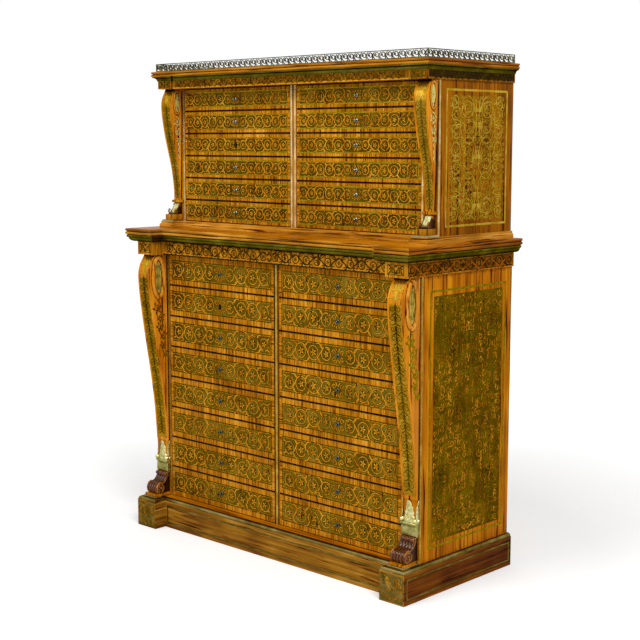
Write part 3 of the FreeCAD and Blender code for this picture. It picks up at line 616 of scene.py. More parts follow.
def drawer_box(name, low, high, wall, floor):
    """An open box: a blank whose top is inset by the thickness of the walls and sunk to the floor. The grain
    of each wall runs along it."""
    piece = block(name, low, high)
    piece.data.materials.append(lining_wood)
    piece.data.materials.append(lining_walls)
    bpy.ops.object.mode_set(mode="EDIT")
    bpy.ops.mesh.select_mode(type="FACE")
    pick(piece, lambda centre, normal: normal.z > 0.99)
    bpy.ops.mesh.inset(thickness=wall * MM)
    bpy.ops.mesh.extrude_region_move(TRANSFORM_OT_translate={"value": (0, 0, low.z - high.z + floor * MM)})
    pick(piece, lambda centre, normal: abs(normal.z) < 0.1)
    paint(piece, 1)
    bpy.ops.object.mode_set(mode="OBJECT")
    return piece


# Turned steel gives small grey knobs with a sharp glint. Blacked iron has almost no shine and looks like a
# hole from a distance: on the escutcheon its near-black colour is painted shade that widens the keyhole.
steel_turned = sheet_brass("turned_steel_knob",
                           [(0.35, "#30312F"), (0.5, "#4E4F4B"), (0.65, "#747570")], 0.34, 1.2)
iron_dark = sheet_brass("blacked_iron_lock", [(0.35, "#050403"), (0.5, "#0A0906"), (0.65, "#14110C")], 0.5, 6)


def turned_knob(name, centre, radius, reach, finish):
    """A knob on a small rose, spun from its half outline of (forward, radius) points."""
    outline = [(0, 0), (0, 1.45), (0.12, 1.5), (0.2, 1.3), (0.26, 0.62), (0.42, 0.5), (0.55, 0.62),
               (0.66, 0.92), (0.78, 1.0), (0.9, 0.86), (0.97, 0.52), (1.0, 0)]
    points = [centre + Vector((wide * radius * MM, -forward * reach * MM, 0)) for forward, wide in outline]
    piece = blank(name, points, [], [(step, step + 1) for step in range(len(points) - 1)])
    bpy.ops.object.mode_set(mode="EDIT")
    bpy.ops.mesh.select_all(action="SELECT")
    bpy.ops.mesh.spin(steps=14, angle=2 * math.pi, center=centre, axis=(0, 1, 0))
    bpy.ops.mesh.select_all(action="SELECT")
    bpy.ops.mesh.remove_doubles(threshold=1e-6)
    bpy.ops.object.mode_set(mode="OBJECT")
    outward(45)
    piece.data.materials.append(finish)
    return piece


def oval(centre, wide, tall, steps=12):
    """A round or oval plate, sliced into paired points."""
    turns = [math.pi * step / steps for step in range(steps + 1)]
    return [((centre[0] + wide * math.cos(turn), centre[1] + tall * math.sin(turn)),
             (centre[0] + wide * math.cos(turn), centre[1] - tall * math.sin(turn))) for turn in turns]


def disc(centre, radius, steps=5):
    """A round plate."""
    return oval(centre, radius, radius, steps)


def rosette(centre, radius, petals):
    """A flower of leaf-shaped petals round a dot."""
    made = [disc(centre, 0.22 * radius, 4)]
    for petal in range(petals):
        angle = 2 * math.pi * petal / petals
        made.append(leaf(around(centre, 0.3 * radius, angle), around(centre, radius, angle), 0,
                         0.5 * radius, 3))
    return made


def rinceau(centres, radii, weight, petals, steps=20):
    """Half of a running scroll: one vine that passes over and under in turn, and at each pass sends a shoot
    round into a roundel with a flower. The second list holds the same stems cut wider, for a dark rim."""
    made, rims = [], []
    lean, turns = math.radians(44), 1.12
    pass_share = (math.pi - 2 * lean) / (2 * math.pi * turns)

    def cut(path, width, rim=2.6):
        made.append(strip(path, width))
        rims.append(strip(path, lambda share: width(share) + rim))

    room, rise = centres[0] - radii[0], radii[0]
    for up in (-1, 1):
        cut(spiral((0.6 * room, up * 0.45 * rise), 0.34 * room, 0.1 * room, 0, 1.2 * up, 10),
            taper(0.8 * weight, 0.5 * weight))
        cut(bow((0.12 * room, up * 0.55 * rise), (0.5 * room, up * 1.15 * rise), 0.15 * up, 4),
            leaf_width(weight))
    turn = 1
    for number, (centre, radius) in enumerate(zip(centres, radii)):
        entry = math.pi - turn * lean
        shoot = []
        for step in range(steps + 1):
            share = step / steps
            reach = radius * (1 - 0.24 * max(0.0, share - pass_share) / (1 - pass_share))
            shoot.append(around((centre, 0), reach, entry - turn * 2 * math.pi * turns * share))
        cut(shoot, taper(weight, 0.6 * weight))
        made += rosette((centre, 0), 0.5 * radius, petals)
        rims.append(disc((centre, 0), 0.48 * radius, 6))
        if number + 1 < len(centres):
            after, wide = centres[number + 1], radii[number + 1]
            first = (centre + radius * math.cos(lean), turn * radius * math.sin(lean))
            last = (after - wide * math.cos(lean), -turn * wide * math.sin(lean))
            cut(bow(first, last, 0, 3), taper(weight, weight))
            sprouts = ((first, after, wide, 1, turn), (last, centre, radius, -1, -turn))
            for root, far, size, way, up in sprouts:
                cut(bow(root, (far - way * 0.25 * size, up * 1.16 * size), 0.25 * turn, 5),
                    leaf_width(1.1 * weight), 2)
                cut(bow(root, (far - way * 1.1 * size, up * 1.17 * size), -0.1 * turn, 3),
                    leaf_width(0.8 * weight), 2)
        turn = -turn
    end, size = centres[-1] + radii[-1], radii[-1]
    for up in (-1, 1):
        cut(bow((end - 0.3 * size, up * 0.75 * size), (end + 0.35 * size, up * 1.1 * size), 0, 4),
            leaf_width(1.1 * weight))
    return made, rims


def copy_to(piece, name, shift, body, slot):
    """The same piece at another place, with its own mesh."""
    made = piece.copy()
    made.data = piece.data.copy()
    made.name = name
    made.data.name = name
    made.data.transform(Matrix.Translation(shift))
    bpy.context.collection.objects.link(made)
    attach(made, body)
    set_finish(made, slot)
    return made


def cut_keyhole(piece, centre):
    """Cuts a round-topped keyhole through a piece."""
    radius, slit, drop, through = 2.5 * MM, 2.6 * MM, 9 * MM, 60 * MM
    bpy.ops.object.select_all(action="DESELECT")
    bpy.ops.mesh.primitive_cylinder_add(vertices=16, radius=radius, depth=through, location=centre,
                                        rotation=(math.pi / 2, 0, 0))
    tools = [bpy.context.object]
    bpy.ops.mesh.primitive_cube_add(size=1, location=centre - Vector((0, 0, drop / 2)),
                                    scale=(slit, through, drop))
    tools.append(bpy.context.object)
    for tool in tools:
        alone(piece)
        cut = piece.modifiers.new("keyhole", "BOOLEAN")
        cut.operation = "DIFFERENCE"
        cut.object = tool
        bpy.ops.object.modifier_apply(modifier="keyhole")
        bpy.data.objects.remove(tool)


front_thickness, front_gap, knob_reach, knob_radius = 18, 0.9, 11, 4.2
box_drop, box_wall, box_floor = 13.2, 10, 9.5
case_half, case_fall, case_thick, case_drop = 25, 16, 8, 11.5


def drawers(stage, rows, locked, band_end, band, line, gap, pattern, panel, border, knob_finish):
    """Models the first drawer of a stage and copies its pieces to every other drawer."""
    low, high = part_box(f"{stage}_drawer_left_1")
    plane = low.y + knob_reach * MM
    behind = plane + front_thickness * MM
    front_low = Vector((low.x, plane, low.z + front_gap * MM))
    front_high = Vector((high.x, behind, high.z - front_gap * MM))
    middle = (front_low + front_high) / 2
    depth = (back_plane - plane) / MM
    face = front_face(depth, middle.x / MM, middle.z / MM)
    half, rise = (front_high.x - front_low.x) / 2 / MM, (front_high.z - front_low.z) / 2 / MM
    line_half, line_rise = half - band_end, rise - band
    field_half, field_rise = line_half - line - gap, line_rise - line - gap
    box_low, box_high = Vector((low.x, behind, low.z)), Vector((high.x, high.y, high.z - box_drop * MM))
    scrolls, rims = pattern
    models = {
        "front": (drawer_front("model_front", front_low, front_high, band), "rosewood"),
        "box": (drawer_box("model_box", box_low, box_high, box_wall, box_floor), "lining_wood"),
        "knob": (turned_knob("model_knob", Vector((middle.x, plane, middle.z)), knob_radius, knob_reach,
                             knob_finish), "steel"),
        "line": (inlay("model_line", [edging(-line_half, -line_rise, line_half, line_rise, line)], face,
                       FRONT, border, "brass"), "brass"),
        "brass": (inlay("model_brass", [plate(-field_half, -field_rise, field_half, field_rise)], face, FRONT,
                        panel, "brass"), "brass"),
        "scrolls": (inlay("model_scrolls", scrolls + flipped(scrolls), face, FRONT, scroll_wood, "rosewood",
                          proud=0.6), "rosewood"),
        "rims": (inlay("model_rims", rims + flipped(rims), face, FRONT, mastic_and_painted_shadow, "brass", proud=0.4), "brass"),
    }
    for column in ("left", "right"):
        for row in range(1, rows + 1):
            name = f"{stage}_drawer_{column}_{row}"
            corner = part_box(name)[0]
            shift = Vector((corner.x - low.x, 0, corner.z - low.z))
            has_lock = column == "left" and row == locked
            made = {}
            for part, (model, slot) in models.items():
                if not (has_lock and part == "knob"):
                    made[part] = copy_to(model, f"{name}_{part}", shift, name, slot)
            if has_lock:
                keyhole = Vector((middle.x + shift.x, plane, middle.z + shift.z))
                key_face = front_face(depth, keyhole.x / MM, keyhole.z / MM)
                # The near-black escutcheon is painted shade round the keyhole.
                rim = inlay(f"{name}_escutcheon", [oval((0, -2), 5.6, 8.4, 10)], key_face, FRONT, iron_dark,
                            "steel", name, proud=1.0)
                for pierced in (made["front"], made["brass"], rim):
                    cut_keyhole(pierced, keyhole)
                case = block(f"{name}_lock_case",
                             Vector((keyhole.x - case_half * MM, behind, keyhole.z - case_fall * MM)),
                             Vector((keyhole.x + case_half * MM, behind + case_thick * MM,
                                     corner.z + (high.z - low.z) - case_drop * MM)))
                fit(case, iron_dark, "steel", name)
            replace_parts(made["front"], name)
    for model, slot in models.values():
        bpy.data.objects.remove(model)


lower_run = rinceau(centres=(46, 98, 149, 198), radii=(20.5, 22.5, 23, 20.5), weight=3.5, petals=5)
drawers("lower", rows=8, locked=2, band_end=12, band=17, line=3.4, gap=2, pattern=lower_run,
        panel=brass_panel, border=brass_olive, knob_finish=steel_turned)

# Consoles of the lower chest: solid rosewood sawn to an S-scroll, with a sunk brass panel down the front
# and, on each cheek, a raised oval ring round a pale medal above a spray of brass. They are screwed to the
# stiles from inside.


def sawn(name, outline, left, right):
    """A blank sawn to a side outline of (depth, height) points and as thick as the two X values say."""
    piece = blank(name, [spot(left, depth, height) for depth, height in outline],
                  [tuple(range(len(outline)))])
    bpy.ops.object.mode_set(mode="EDIT")
    bpy.ops.mesh.select_mode(type="FACE")
    bpy.ops.mesh.select_all(action="SELECT")
    bpy.ops.mesh.extrude_region_move(TRANSFORM_OT_translate={"value": ((right - left) * MM, 0, 0)})
    bpy.ops.mesh.select_all(action="SELECT")
    bpy.ops.mesh.normals_make_consistent(inside=False)
    bpy.ops.object.mode_set(mode="OBJECT")
    return piece


def soften(piece, width):
    """Rounds the sharp edges of a piece."""
    alone(piece)
    edge = piece.modifiers.new("edge", "BEVEL")
    edge.width = width * MM
    edge.segments = 2
    edge.limit_method = "ANGLE"
    edge.angle_limit = math.radians(50)
    bpy.ops.object.modifier_apply(modifier="edge")
    bpy.ops.object.shade_smooth_by_angle(angle=math.radians(40))


def mirror_to_left(piece):
    """The same piece on the left, mirrored about the middle of the cabinet."""
    made = piece.copy()
    made.data = piece.data.copy()
    made.name = piece.name.replace("right", "left")
    made.data.name = made.name
    made.data.transform(Matrix.Scale(-1, 4, (1, 0, 0)))
    made.data.flip_normals()
    bpy.context.collection.objects.link(made)
    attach(made, "cabinet")
    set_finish(made, piece["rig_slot"])


def flowing(points, steps=6):
    """A smooth line through a few points."""
    guide = [points[0]] + list(points) + [points[-1]]
    path = []
    for first, second, third, fourth in zip(guide, guide[1:], guide[2:], guide[3:]):
        for step in range(steps):
            share = step / steps
            path.append(tuple(
                0.5 * (2 * b + (c - a) * share + (2 * a - 5 * b + 4 * c - d) * share ** 2
                       + (3 * b - a - 3 * c + d) * share ** 3)
                for a, b, c, d in zip(first, second, third, fourth)))
    return path + [tuple(points[-1])]


# Solid rosewood, the brightest wood of the cabinet, with a little more gloss than the veneer. Its rings are
# a paler orange on a dark ground.
console_wood = rosewood("rosewood_console", 9, 220, "up",
                        [(0.28, "#8A4802"), (0.42, "#B46806"), (0.54, "#D08214"), (0.68, "#E69E30")], 0.16)
ring_wood = rosewood("turned_rosewood_ring", 6, 80, "up",
                     [(0.3, "#A8600C"), (0.45, "#C87E1C"), (0.6, "#DE9A38"), (0.75, "#EEB660")], 0.15)
eye_wood = rosewood("rosewood_ring_ground", 5, 40, "up", shades("#4E2A04", "#74460C", "#98641A"))


def console(name, scroll, wall, centre, wide, narrow, shoulder, lip, sink):
    """An S-scroll whose front is sunk between two lips, narrowing in front view below its shoulder."""
    foot, head = scroll[-1][1], scroll[0][1]
    curve = flowing(scroll)
    piece = sawn(name, curve + [(wall, foot), (wall, head)], centre - wide / 2, centre + wide / 2)
    bpy.ops.object.mode_set(mode="EDIT")
    pick(piece, lambda middle, normal: normal.y < -0.3 and abs(normal.x) < 0.1)
    bpy.ops.mesh.inset(thickness=lip * MM, depth=-sink * MM)
    bpy.ops.object.mode_set(mode="OBJECT")
    for vertex in piece.data.vertices:
        drop = max(0.0, shoulder - vertex.co.z / MM) / (shoulder - foot)
        vertex.co.x = centre * MM + (vertex.co.x - centre * MM) * (1 + (narrow / wide - 1) * drop)
    soften(piece, 1.2)
    return fit(piece, console_wood, "rosewood"), curve


def down_the_scroll(curve, centre, wide, narrow, shoulder, sink):
    """Puts a flat pattern on the sunk front of a console: across its width and down along its curve."""
    foot = curve[-1][1]
    lengths = [0.0]
    for before, after in zip(curve, curve[1:]):
        lengths.append(lengths[-1] + math.dist(before, after))

    def place(across, down):
        step = max(k for k in range(len(curve) - 1) if lengths[k] <= max(down, 0.0))
        share = (down - lengths[step]) / (lengths[step + 1] - lengths[step])
        before, after = Vector(curve[step]), Vector(curve[step + 1])
        depth, height = before + (after - before) * share
        fall = (after - before).normalized()
        drop = max(0.0, shoulder - height) / (shoulder - foot)
        squeeze = 1 + (narrow / wide - 1) * drop
        return spot(centre + across * squeeze, depth + fall.y * sink, height - fall.x * sink)

    return place, lengths[-1]


def rod(name, x, path, thick, closed=False):
    """A round rod bent along a side path of (depth, height) points. An open rod thins toward its end."""
    data = bpy.data.curves.new(name, "CURVE")
    data.dimensions = "3D"
    line = data.splines.new("POLY")
    line.use_cyclic_u = closed
    line.points.add(len(path) - 1)
    for step, (depth, height) in enumerate(path):
        line.points[step].co = (*spot(x, depth, height), 1)
        line.points[step].radius = 1 if closed else 1 - 0.45 * step / (len(path) - 1)
    data.bevel_depth = thick / 2 * MM
    data.bevel_resolution = 2
    data.use_fill_caps = True
    piece = bpy.data.objects.new(name, data)
    bpy.context.collection.objects.link(piece)
    alone(piece)
    bpy.ops.object.convert(target="MESH")
    bpy.ops.object.shade_smooth()
    return bpy.context.object


# The panel is burnished yellow brass with gilt leaves at its head, and scrolls engraved darker under them.
# The medals are pale figured wood with leaves shaded in hot sand, a faint grey green.
brass_bright = sheet_brass("burnished_brass_panel", shades("#8E6610", "#AA7E1A", "#C69832"), 0.34, 40)
brass_gilt = sheet_brass("gilt_brass_foliage", shades("#A47C14", "#C29A2C", "#DCB84C"), 0.28, 15)
brass_engraved = sheet_brass("engraved_dark_brass", shades("#332802", "#463806", "#5C4C0C"), 0.42, 20)
brass_dim = sheet_brass("engraved_dull_brass", shades("#463A06", "#5A4C0C", "#706016"), 0.42, 20)
medal_wood = rosewood("pale_figured_medal", 4, 24, "up",
                      [(0.3, "#8A7420"), (0.45, "#A68E34"), (0.6, "#C0A84E"), (0.75, "#D6C070")])
medal_shade = rosewood("shaded_medal_leaves", 4, 24, "up", shades("#6E6420", "#84782C", "#9C9040"))


def console_marquetry(name, place, length, half, unit, top, weight, dark):
    """Brass down the front of a console between two wood lines, with gilt leaves at its head and a strip of
    painted shadow over them, where the frieze shades the head. The scrolls are cut in dark brass as far down
    as dark says, and in dull brass below that."""
    levels = [length * step / 30 for step in range(31)]
    leaves, scrolls = [], {True: [], False: []}
    for turn in range(-2, 3):
        leaves.append(leaf((0.1 * turn * half, 0.62 * top),
                           (turn * 0.42 * half, 0.14 * top + 0.05 * top * turn * turn),
                           0.1 * turn, 2.4 * weight))
        leaves.append(leaf((0.1 * turn * half, 0.66 * top),
                           (turn * 0.4 * half, 1.25 * top - 0.06 * top * turn * turn),
                           0.1 * turn, 2.0 * weight))
    for number in range(int((length - 1.2 * top) // unit)):
        down = 1.2 * top + (number + 0.5) * unit
        way = 1 if number % 2 else -1
        one = [strip(spiral((0.5 * half, down), 0.42 * half, 0.12 * half, math.pi - 0.9 * way, 1.3 * way, 14),
                     taper(weight, 0.6 * weight)),
               leaf((0.4, down - 0.55 * unit), (0.4, down + 0.55 * unit), 0.04, 1.6 * weight),
               leaf((1, down + 0.3 * unit), (0.8 * half, down + 0.62 * unit), 0.2, 1.5 * weight, 4)]
        scrolls[down < dark] += one + flipped(one)
    field = [strip([(0, down) for down in levels], lambda share: 2 * half)]
    lines = [strip([(side * (half - 1.6), down) for down in levels], lambda share: 1.4) for side in (-1, 1)]
    # A strip of painted shadow at the head, under the frieze block.
    head_joint = [strip([(0, 1), (0, 8)], lambda share: 2 * half + 8)]
    layers = (("panel", field, brass_bright, "brass", 0.25),
              ("leaves", leaves, brass_gilt, "brass", 0.45),
              ("scrolls", scrolls[False], brass_dim, "brass", 0.45),
              ("lines", lines, scroll_wood, "rosewood", 0.65),
              ("head_joint", head_joint, edge_shadow, "rosewood", 2),
              ("head_scrolls", scrolls[True], brass_engraved, "brass", 0.45))
    return [inlay(f"{name}_{layer}", strips, place, FRONT, finish, slot, proud=proud)
            for layer, strips, finish, slot, proud in layers if strips]


def cheek_oval(name, x, depth, height, facing, ring, eye, groove, medal, medal_finish):
    """A raised oval moulding half let into the cheek of a console, in a groove drawn as a flat band of
    painted shade on a dark ground, with a medal inside it. Each is given by its half width, half height and,
    for ring and groove, thickness."""
    face = side_face(x, depth, height, 1)
    wide, tall, thick = ring
    turns = [2 * math.pi * step / 40 for step in range(40)]
    path = [(depth + wide * math.cos(turn), height + tall * math.sin(turn)) for turn in turns]
    # The groove is a flat band of painted shade round the ring.
    return [fit(rod(name + "_ring", x, path, thick, closed=True), ring_wood, "rosewood"),
            inlay(name + "_eye", [oval((0, 0), *eye)], face, facing, eye_wood, "rosewood"),
            inlay(name + "_groove_shade", [hoop((0, 0), *groove)], face, facing, edge_shadow, "rosewood",
                  proud=0.5),
            inlay(name + "_medal", [oval((0, 0), *medal)], face, facing, medal_finish, "rosewood",
                  proud=0.45)]


def branch(root, centre, radius, sense, weight):
    """A stem that leaves a root, winds into a scroll round a dot and carries leaves on its back."""
    away = math.atan2(root[1] - centre[1], root[0] - centre[0])
    start = away + sense * 0.9
    stem = bow(root, around(centre, radius, start), -0.16 * sense, 5)[:-1]
    path = stem + spiral(centre, radius, 0.3 * radius, start, 1.35 * sense, 18)
    made = [strip(path, taper(weight, 0.55 * weight)), disc(centre, 0.24 * radius, 4)]
    for share, reach in ((0.2, 1.5), (1.1, 1.6), (2.0, 1.5), (3.2, 1.45), (4.4, 1.4)):
        angle = start + sense * share
        made.append(leaf(around(centre, radius, angle), around(centre, reach * radius, angle + sense * 0.5),
                         0.2 * sense, 1.5 * weight, 4))
    return made


CHEEKS = ((1, "outer", RIGHT), (-1, "inner", LEFT))
LOWER_SCROLL = [(470, 905), (494, 866), (499, 815), (484, 690), (446, 450), (431, 282)]
console_x, console_wide, lower_wall, lower_shoulder, lower_lip, sink = 532, 54, 420, 300, 4, 1.6
right_console, lower_curve = console("lower_console_right", LOWER_SCROLL, lower_wall, console_x, console_wide,
                                     console_wide, lower_shoulder, lower_lip, sink)
lower_front, lower_length = down_the_scroll(lower_curve, console_x, console_wide, console_wide,
                                            lower_shoulder, sink)
lower_pieces = [right_console]
lower_pieces += console_marquetry("lower_console_right", lower_front, length=lower_length - 10, half=22.4,
                                  unit=28, top=64, weight=2.4, dark=270)
ring_depth, ring_height = 459, 830
# Painted shadow along the back edge of each cheek, where it meets the stile.
back_joint = plate(-37.5, -546, -33.5, 72)
fan = palmette((0, -38), 22, 1, 1.8) + palmette((0, 38), 22, -1, 1.8) + palmette((0, 2), 14, 1, 1.6)
trail = rosette((0, -98), 8, 6)
root = (6, -74)
for step in range(6):
    sense = 1 if step % 2 else -1
    centre = (2 - 5.2 * step - 5 * sense, -98 - 31 * step)
    trail += branch(root, centre, 15 - 1.4 * step, -sense, 4.4)
    trail.append(leaf(centre, (centre[0] + 14 * sense, centre[1] - 14), 0.2, 7))
    root = (centre[0], centre[1] - 6)
for cheek, word, facing in CHEEKS:
    name = f"lower_console_right_{word}"
    cheek_x = console_x + cheek * console_wide / 2
    face = side_face(cheek_x, ring_depth, ring_height, 1)
    lower_pieces += cheek_oval(name, cheek_x, ring_depth, ring_height, facing, ring=(22, 64, 14),
                               eye=(28, 70), groove=(22, 64, 17), medal=(12.5, 52), medal_finish=medal_wood)
    lower_pieces += [
        inlay(name + "_joint", [back_joint], face, facing, edge_shadow, "rosewood"),
        inlay(name + "_fans", fan + flipped(fan), face, facing, medal_shade, "rosewood", proud=0.65),
        inlay(name + "_spray", trail, face, facing, brass_line, "brass")]
for piece in lower_pieces:
    mirror_to_left(piece)
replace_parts(right_console, "lower_consoles")

# Leaf caps under the lower consoles: cast, chased and gilt brass, a plain band with acanthus leaves
# standing round it, slipped over the rosewood neck of the console and pinned. The leaves are a pale mottled
# gold, and the band is a duller, greener gilt.
gilt = sheet_brass("gilt_chased_brass", shades("#A09848", "#D2CA86", "#F6F0C8"), 0.3, 7)
brass_green = sheet_brass("dull_gilt_band", shades("#868040", "#A6A060", "#C6C088"), 0.34, 20)


def acanthus(wide, tall, place, lobes=5, rows=18):
    """One leaf: a broad blade with lobed edges, a raised midrib and a tip that turns out."""
    points, faces = [], []
    shares = (-1.0, -0.62, -0.3, 0.0, 0.3, 0.62, 1.0)
    reliefs = (0.0, 1.6, 0.6, 2.6, 0.6, 1.6, 0.0)
    for row in range(rows + 1):
        up = row / rows
        body = (1 - up) ** 0.45
        lobe = 0.74 + 0.26 * abs(math.sin(math.pi * lobes * (up + 0.02)))
        turned = 5.0 * max(0.0, up - 0.72) / 0.28 + 2.5 * (1 - up) ** 3
        for share, relief in zip(shares, reliefs):
            points.append(place(share * wide / 2 * body * lobe, up * tall - abs(share) * 4 * (1 - up),
                                relief * (1 - 0.6 * up) + turned))
    width = len(shares)
    for row in range(rows):
        for step in range(width - 1):
            base = row * width + step
            faces.append((base, base + 1, base + width + 1, base + width))
    piece = blank("leaf", points, faces)
    bpy.ops.object.mode_set(mode="EDIT")
    bpy.ops.mesh.select_all(action="SELECT")
    bpy.ops.mesh.remove_doubles(threshold=1e-6)
    bpy.ops.object.mode_set(mode="OBJECT")
    cast = piece.modifiers.new("cast", "SOLIDIFY")
    cast.thickness = 1.6 * MM
    cast.offset = 0
    bpy.ops.object.modifier_apply(modifier="cast")
    bpy.ops.object.shade_smooth()
    return piece


def bead(place, radius, segments, rings):
    """A small round bead."""
    bpy.ops.object.select_all(action="DESELECT")
    bpy.ops.mesh.primitive_uv_sphere_add(segments=segments, ring_count=rings, radius=radius * MM,
                                         location=place)
    bpy.ops.object.shade_smooth()
    return bpy.context.object


def joined(name, pieces, finish, slot):
    """Several pieces made into one, in one finish, and the same again on the left."""
    alone(pieces[0])
    for piece in pieces[1:]:
        piece.select_set(True)
    if len(pieces) > 1:
        bpy.ops.object.join()
    whole = bpy.context.object
    whole.name = name
    whole.data.name = name
    whole.data.materials.clear()
    fit(whole, finish, slot)
    mirror_to_left(whole)
    return whole


cap_low, cap_neck, cap_high, cap_front = 176, 213, 282, 434
half_cap, half_neck, leaf_root = console_wide / 2 + 1, 25, cap_neck + 2
neck = sawn("neck", [(lower_wall, cap_neck), (cap_front - 5, cap_neck), (cap_front - 4, cap_high),
                     (lower_wall, cap_high)], console_x - half_neck, console_x + half_neck)
joined("lower_console_right_neck", [neck], rosewood_upright, "rosewood")
band = sawn("cap_band", [(lower_wall, cap_low), (cap_front - 3, cap_low), (cap_front - 1, cap_low + 4),
                         (cap_front - 1, cap_neck - 10), (cap_front - 3, cap_neck - 8),
                         (cap_front - 3, cap_neck - 6), (cap_front + 3, cap_neck - 3),
                         (cap_front + 3, cap_neck + 3), (cap_front - 3, cap_neck + 6),
                         (lower_wall, cap_neck + 6)], console_x - half_cap, console_x + half_cap)
soften(band, 1.5)
joined("lower_console_right_cap_band", [band], brass_green, "gilt_brass")
cap_parts = [acanthus(48, 66, lambda side, up, out: spot(
    console_x + side, cap_front - 5 + out, leaf_root + up))]
for cheek in (-1, 1):
    cap_parts.append(acanthus(18, 68, lambda side, up, out, way=cheek: spot(
        console_x + way * (24.5 + out), lower_wall + 4 + side, leaf_root + up)))
for across, forward, radius in ((-24, -1, 7.5), (24, -1, 7.5), (-26, -11, 5), (26, -11, 5)):
    cap_parts.append(bead(spot(console_x + across, cap_front + forward, cap_neck + 10), radius, 10, 6))
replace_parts(joined("lower_console_right_cap", cap_parts, gilt, "gilt_brass"), "console_leaf_caps")

# Scroll feet of the lower consoles: dark rosewood carved as a fluted scroll that rolls under at the front,
# with a volute on each cheek, glued to a thin slab on a brass plate. Painted highlights lighten the ridges
# of the carving, and painted shade makes its hollows and the core behind it nearly black. The plate is a
# pale, worn brass.
CARVED = [(0.3, "#6E3A0A"), (0.45, "#965618"), (0.6, "#C08234"), (0.75, "#E0AA5C")]
carved_rosewood = rosewood("carved_rosewood", 4, 60, "up", CARVED, 0.34, True)
# Dark rosewood for the core behind the carving, darkened further as painted shade of its hollow.
dark_core_and_shade = rosewood("dark_rosewood_core", 4, 60, "up",
                           shades("#120602", "#281206", "#44260C"), 0.2)
brass_base = sheet_brass("brass_base_plate", shades("#8E8450", "#AEA472", "#D0C89C"), 0.3, 30)
dress(brass_base, "console_base_plates")


def fluted_roll(name, path, centre, half, flutes, depth, thick):
    """A strip rolled along a side path of (depth, height) points, with rounded flutes across its width."""
    points, faces = [], []
    across = 8 * flutes
    last = len(path) - 1
    for step, point in enumerate(path):
        before, after = Vector(path[max(step - 1, 0)]), Vector(path[min(step + 1, last)])
        way = (after - before).normalized()
        out = Vector((-way.y, way.x))
        for fluted in (True, False):
            for column in range(across + 1):
                share = column / across
                swell = depth * abs(math.sin(math.pi * flutes * share)) if fluted else -thick
                at = Vector(point) + out * swell
                points.append(spot(centre + half * (2 * share - 1), at.x, at.y))
    ring = 2 * (across + 1)
    for step in range(last):
        for column in range(across):
            for layer in (0, across + 1):
                base = step * ring + layer + column
                faces.append((base, base + 1, base + ring + 1, base + ring))
        for edge in (0, across):
            base = step * ring + edge
            faces.append((base, base + across + 1, base + across + 1 + ring, base + ring))
    for end in (0, last):
        for column in range(across):
            base = end * ring + column
            faces.append((base, base + 1, base + across + 2, base + across + 1))
    piece = blank(name, points, faces)
    outward(60)
    return piece


sole, foot_slab, foot_top, core_half, slab_half, slab_reach = 102, 6, 176, 22, 29, 64
volute_eye, volute_x = (461, 127), 24
roll = flowing([(433, foot_top), (437, 160), (447, 147), (461, 142), (473, 137), (479, 126), (476, 114),
                (466, 110)], 5)
collar = flowing([(426, foot_top), (438, 175), (442, 169), (438, 164), (428, 163)], 4)
foot_core = sawn("core", [(lower_wall, sole + foot_slab), (464, sole + foot_slab)] + roll[::-1][4:]
                 + [(lower_wall, foot_top)], console_x - core_half, console_x + core_half)
joined("lower_console_right_foot_core", [foot_core], dark_core_and_shade, "carved_rosewood")
foot_base = block("slab", spot(console_x - slab_half, lower_wall + slab_reach, sole),
                  spot(console_x + slab_half, lower_wall, sole + foot_slab))
joined("lower_console_right_foot_slab", [foot_base], rosewood_upright, "carved_rosewood")
foot_parts = [fluted_roll("roll", roll, console_x, half=27, flutes=5, depth=2.8, thick=2),
              fluted_roll("collar", collar, console_x, half=25, flutes=3, depth=1.6, thick=2)]
volute = spiral(volute_eye, 17, 3, math.pi / 2, -2.1, 40)
for cheek in (-1, 1):
    foot_parts.append(rod("volute", console_x + cheek * volute_x, volute, 7))
    foot_parts.append(bead(spot(console_x + cheek * volute_x, *volute_eye), 4.5, 12, 8))
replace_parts(joined("lower_console_right_foot", foot_parts, carved_rosewood, "carved_rosewood"),
            "console_scroll_feet")

# Lower frieze: a board between two end blocks, its rosewood veneer let in with a running scroll cut dark.
# The side boards carry the reverse, red rosewood scrolls in brown brass. A light edge and a painted shadow
# line run along the bottom of the board, which is glued to the carcass.
FRIEZE = [(0.28, "#5E3604"), (0.42, "#945C0A"), (0.56, "#B87A18"), (0.70, "#D49830")]
rosewood_frieze = rosewood("rosewood_frieze_veneer", 6, 90, "up", FRIEZE)
red_scroll_wood = rosewood("rosewood_frieze_scrolls", 5, 30, "level",
                           [(0.3, "#663202"), (0.45, "#884806"), (0.6, "#A25A0A"), (0.75, "#B86E14")])
brass_brown = sheet_brass("brown_frieze_brass", shades("#3C2804", "#50380A", "#664A12"), 0.42, 20)
dress(rosewood_frieze, "lower_frieze")
frieze_low, frieze_high, frieze_depth, frieze_block_depth = 905, 947, 450, 492
frieze_half, frieze_block = 566, 76
frieze_middle, frieze_inner = (frieze_low + frieze_high) / 2, frieze_half - frieze_block
shadow_top, edge_low, edge_high = 4, 4.4, 7.8


def roundels(count, first, pitch, radius, weight, petals, steps):
    """Half of a running scroll with equal roundels, without its rims."""
    centres = [first + pitch * step for step in range(count)]
    return rinceau(centres, [radius] * count, weight, petals, steps)[0]


run = roundels(11, first=24, pitch=43, radius=13.5, weight=4.0, petals=5, steps=14)
inlay("lower_frieze_scrolls", run + flipped(run), front_face(frieze_depth, 0, frieze_middle), FRONT, mastic_and_painted_shadow,
      "brass")
frieze_foot = front_face(frieze_depth, 0, frieze_low)
inlay("lower_frieze_edge", [plate(-frieze_inner, edge_low, frieze_inner, edge_high)], frieze_foot, FRONT,
      scroll_wood, "rosewood")
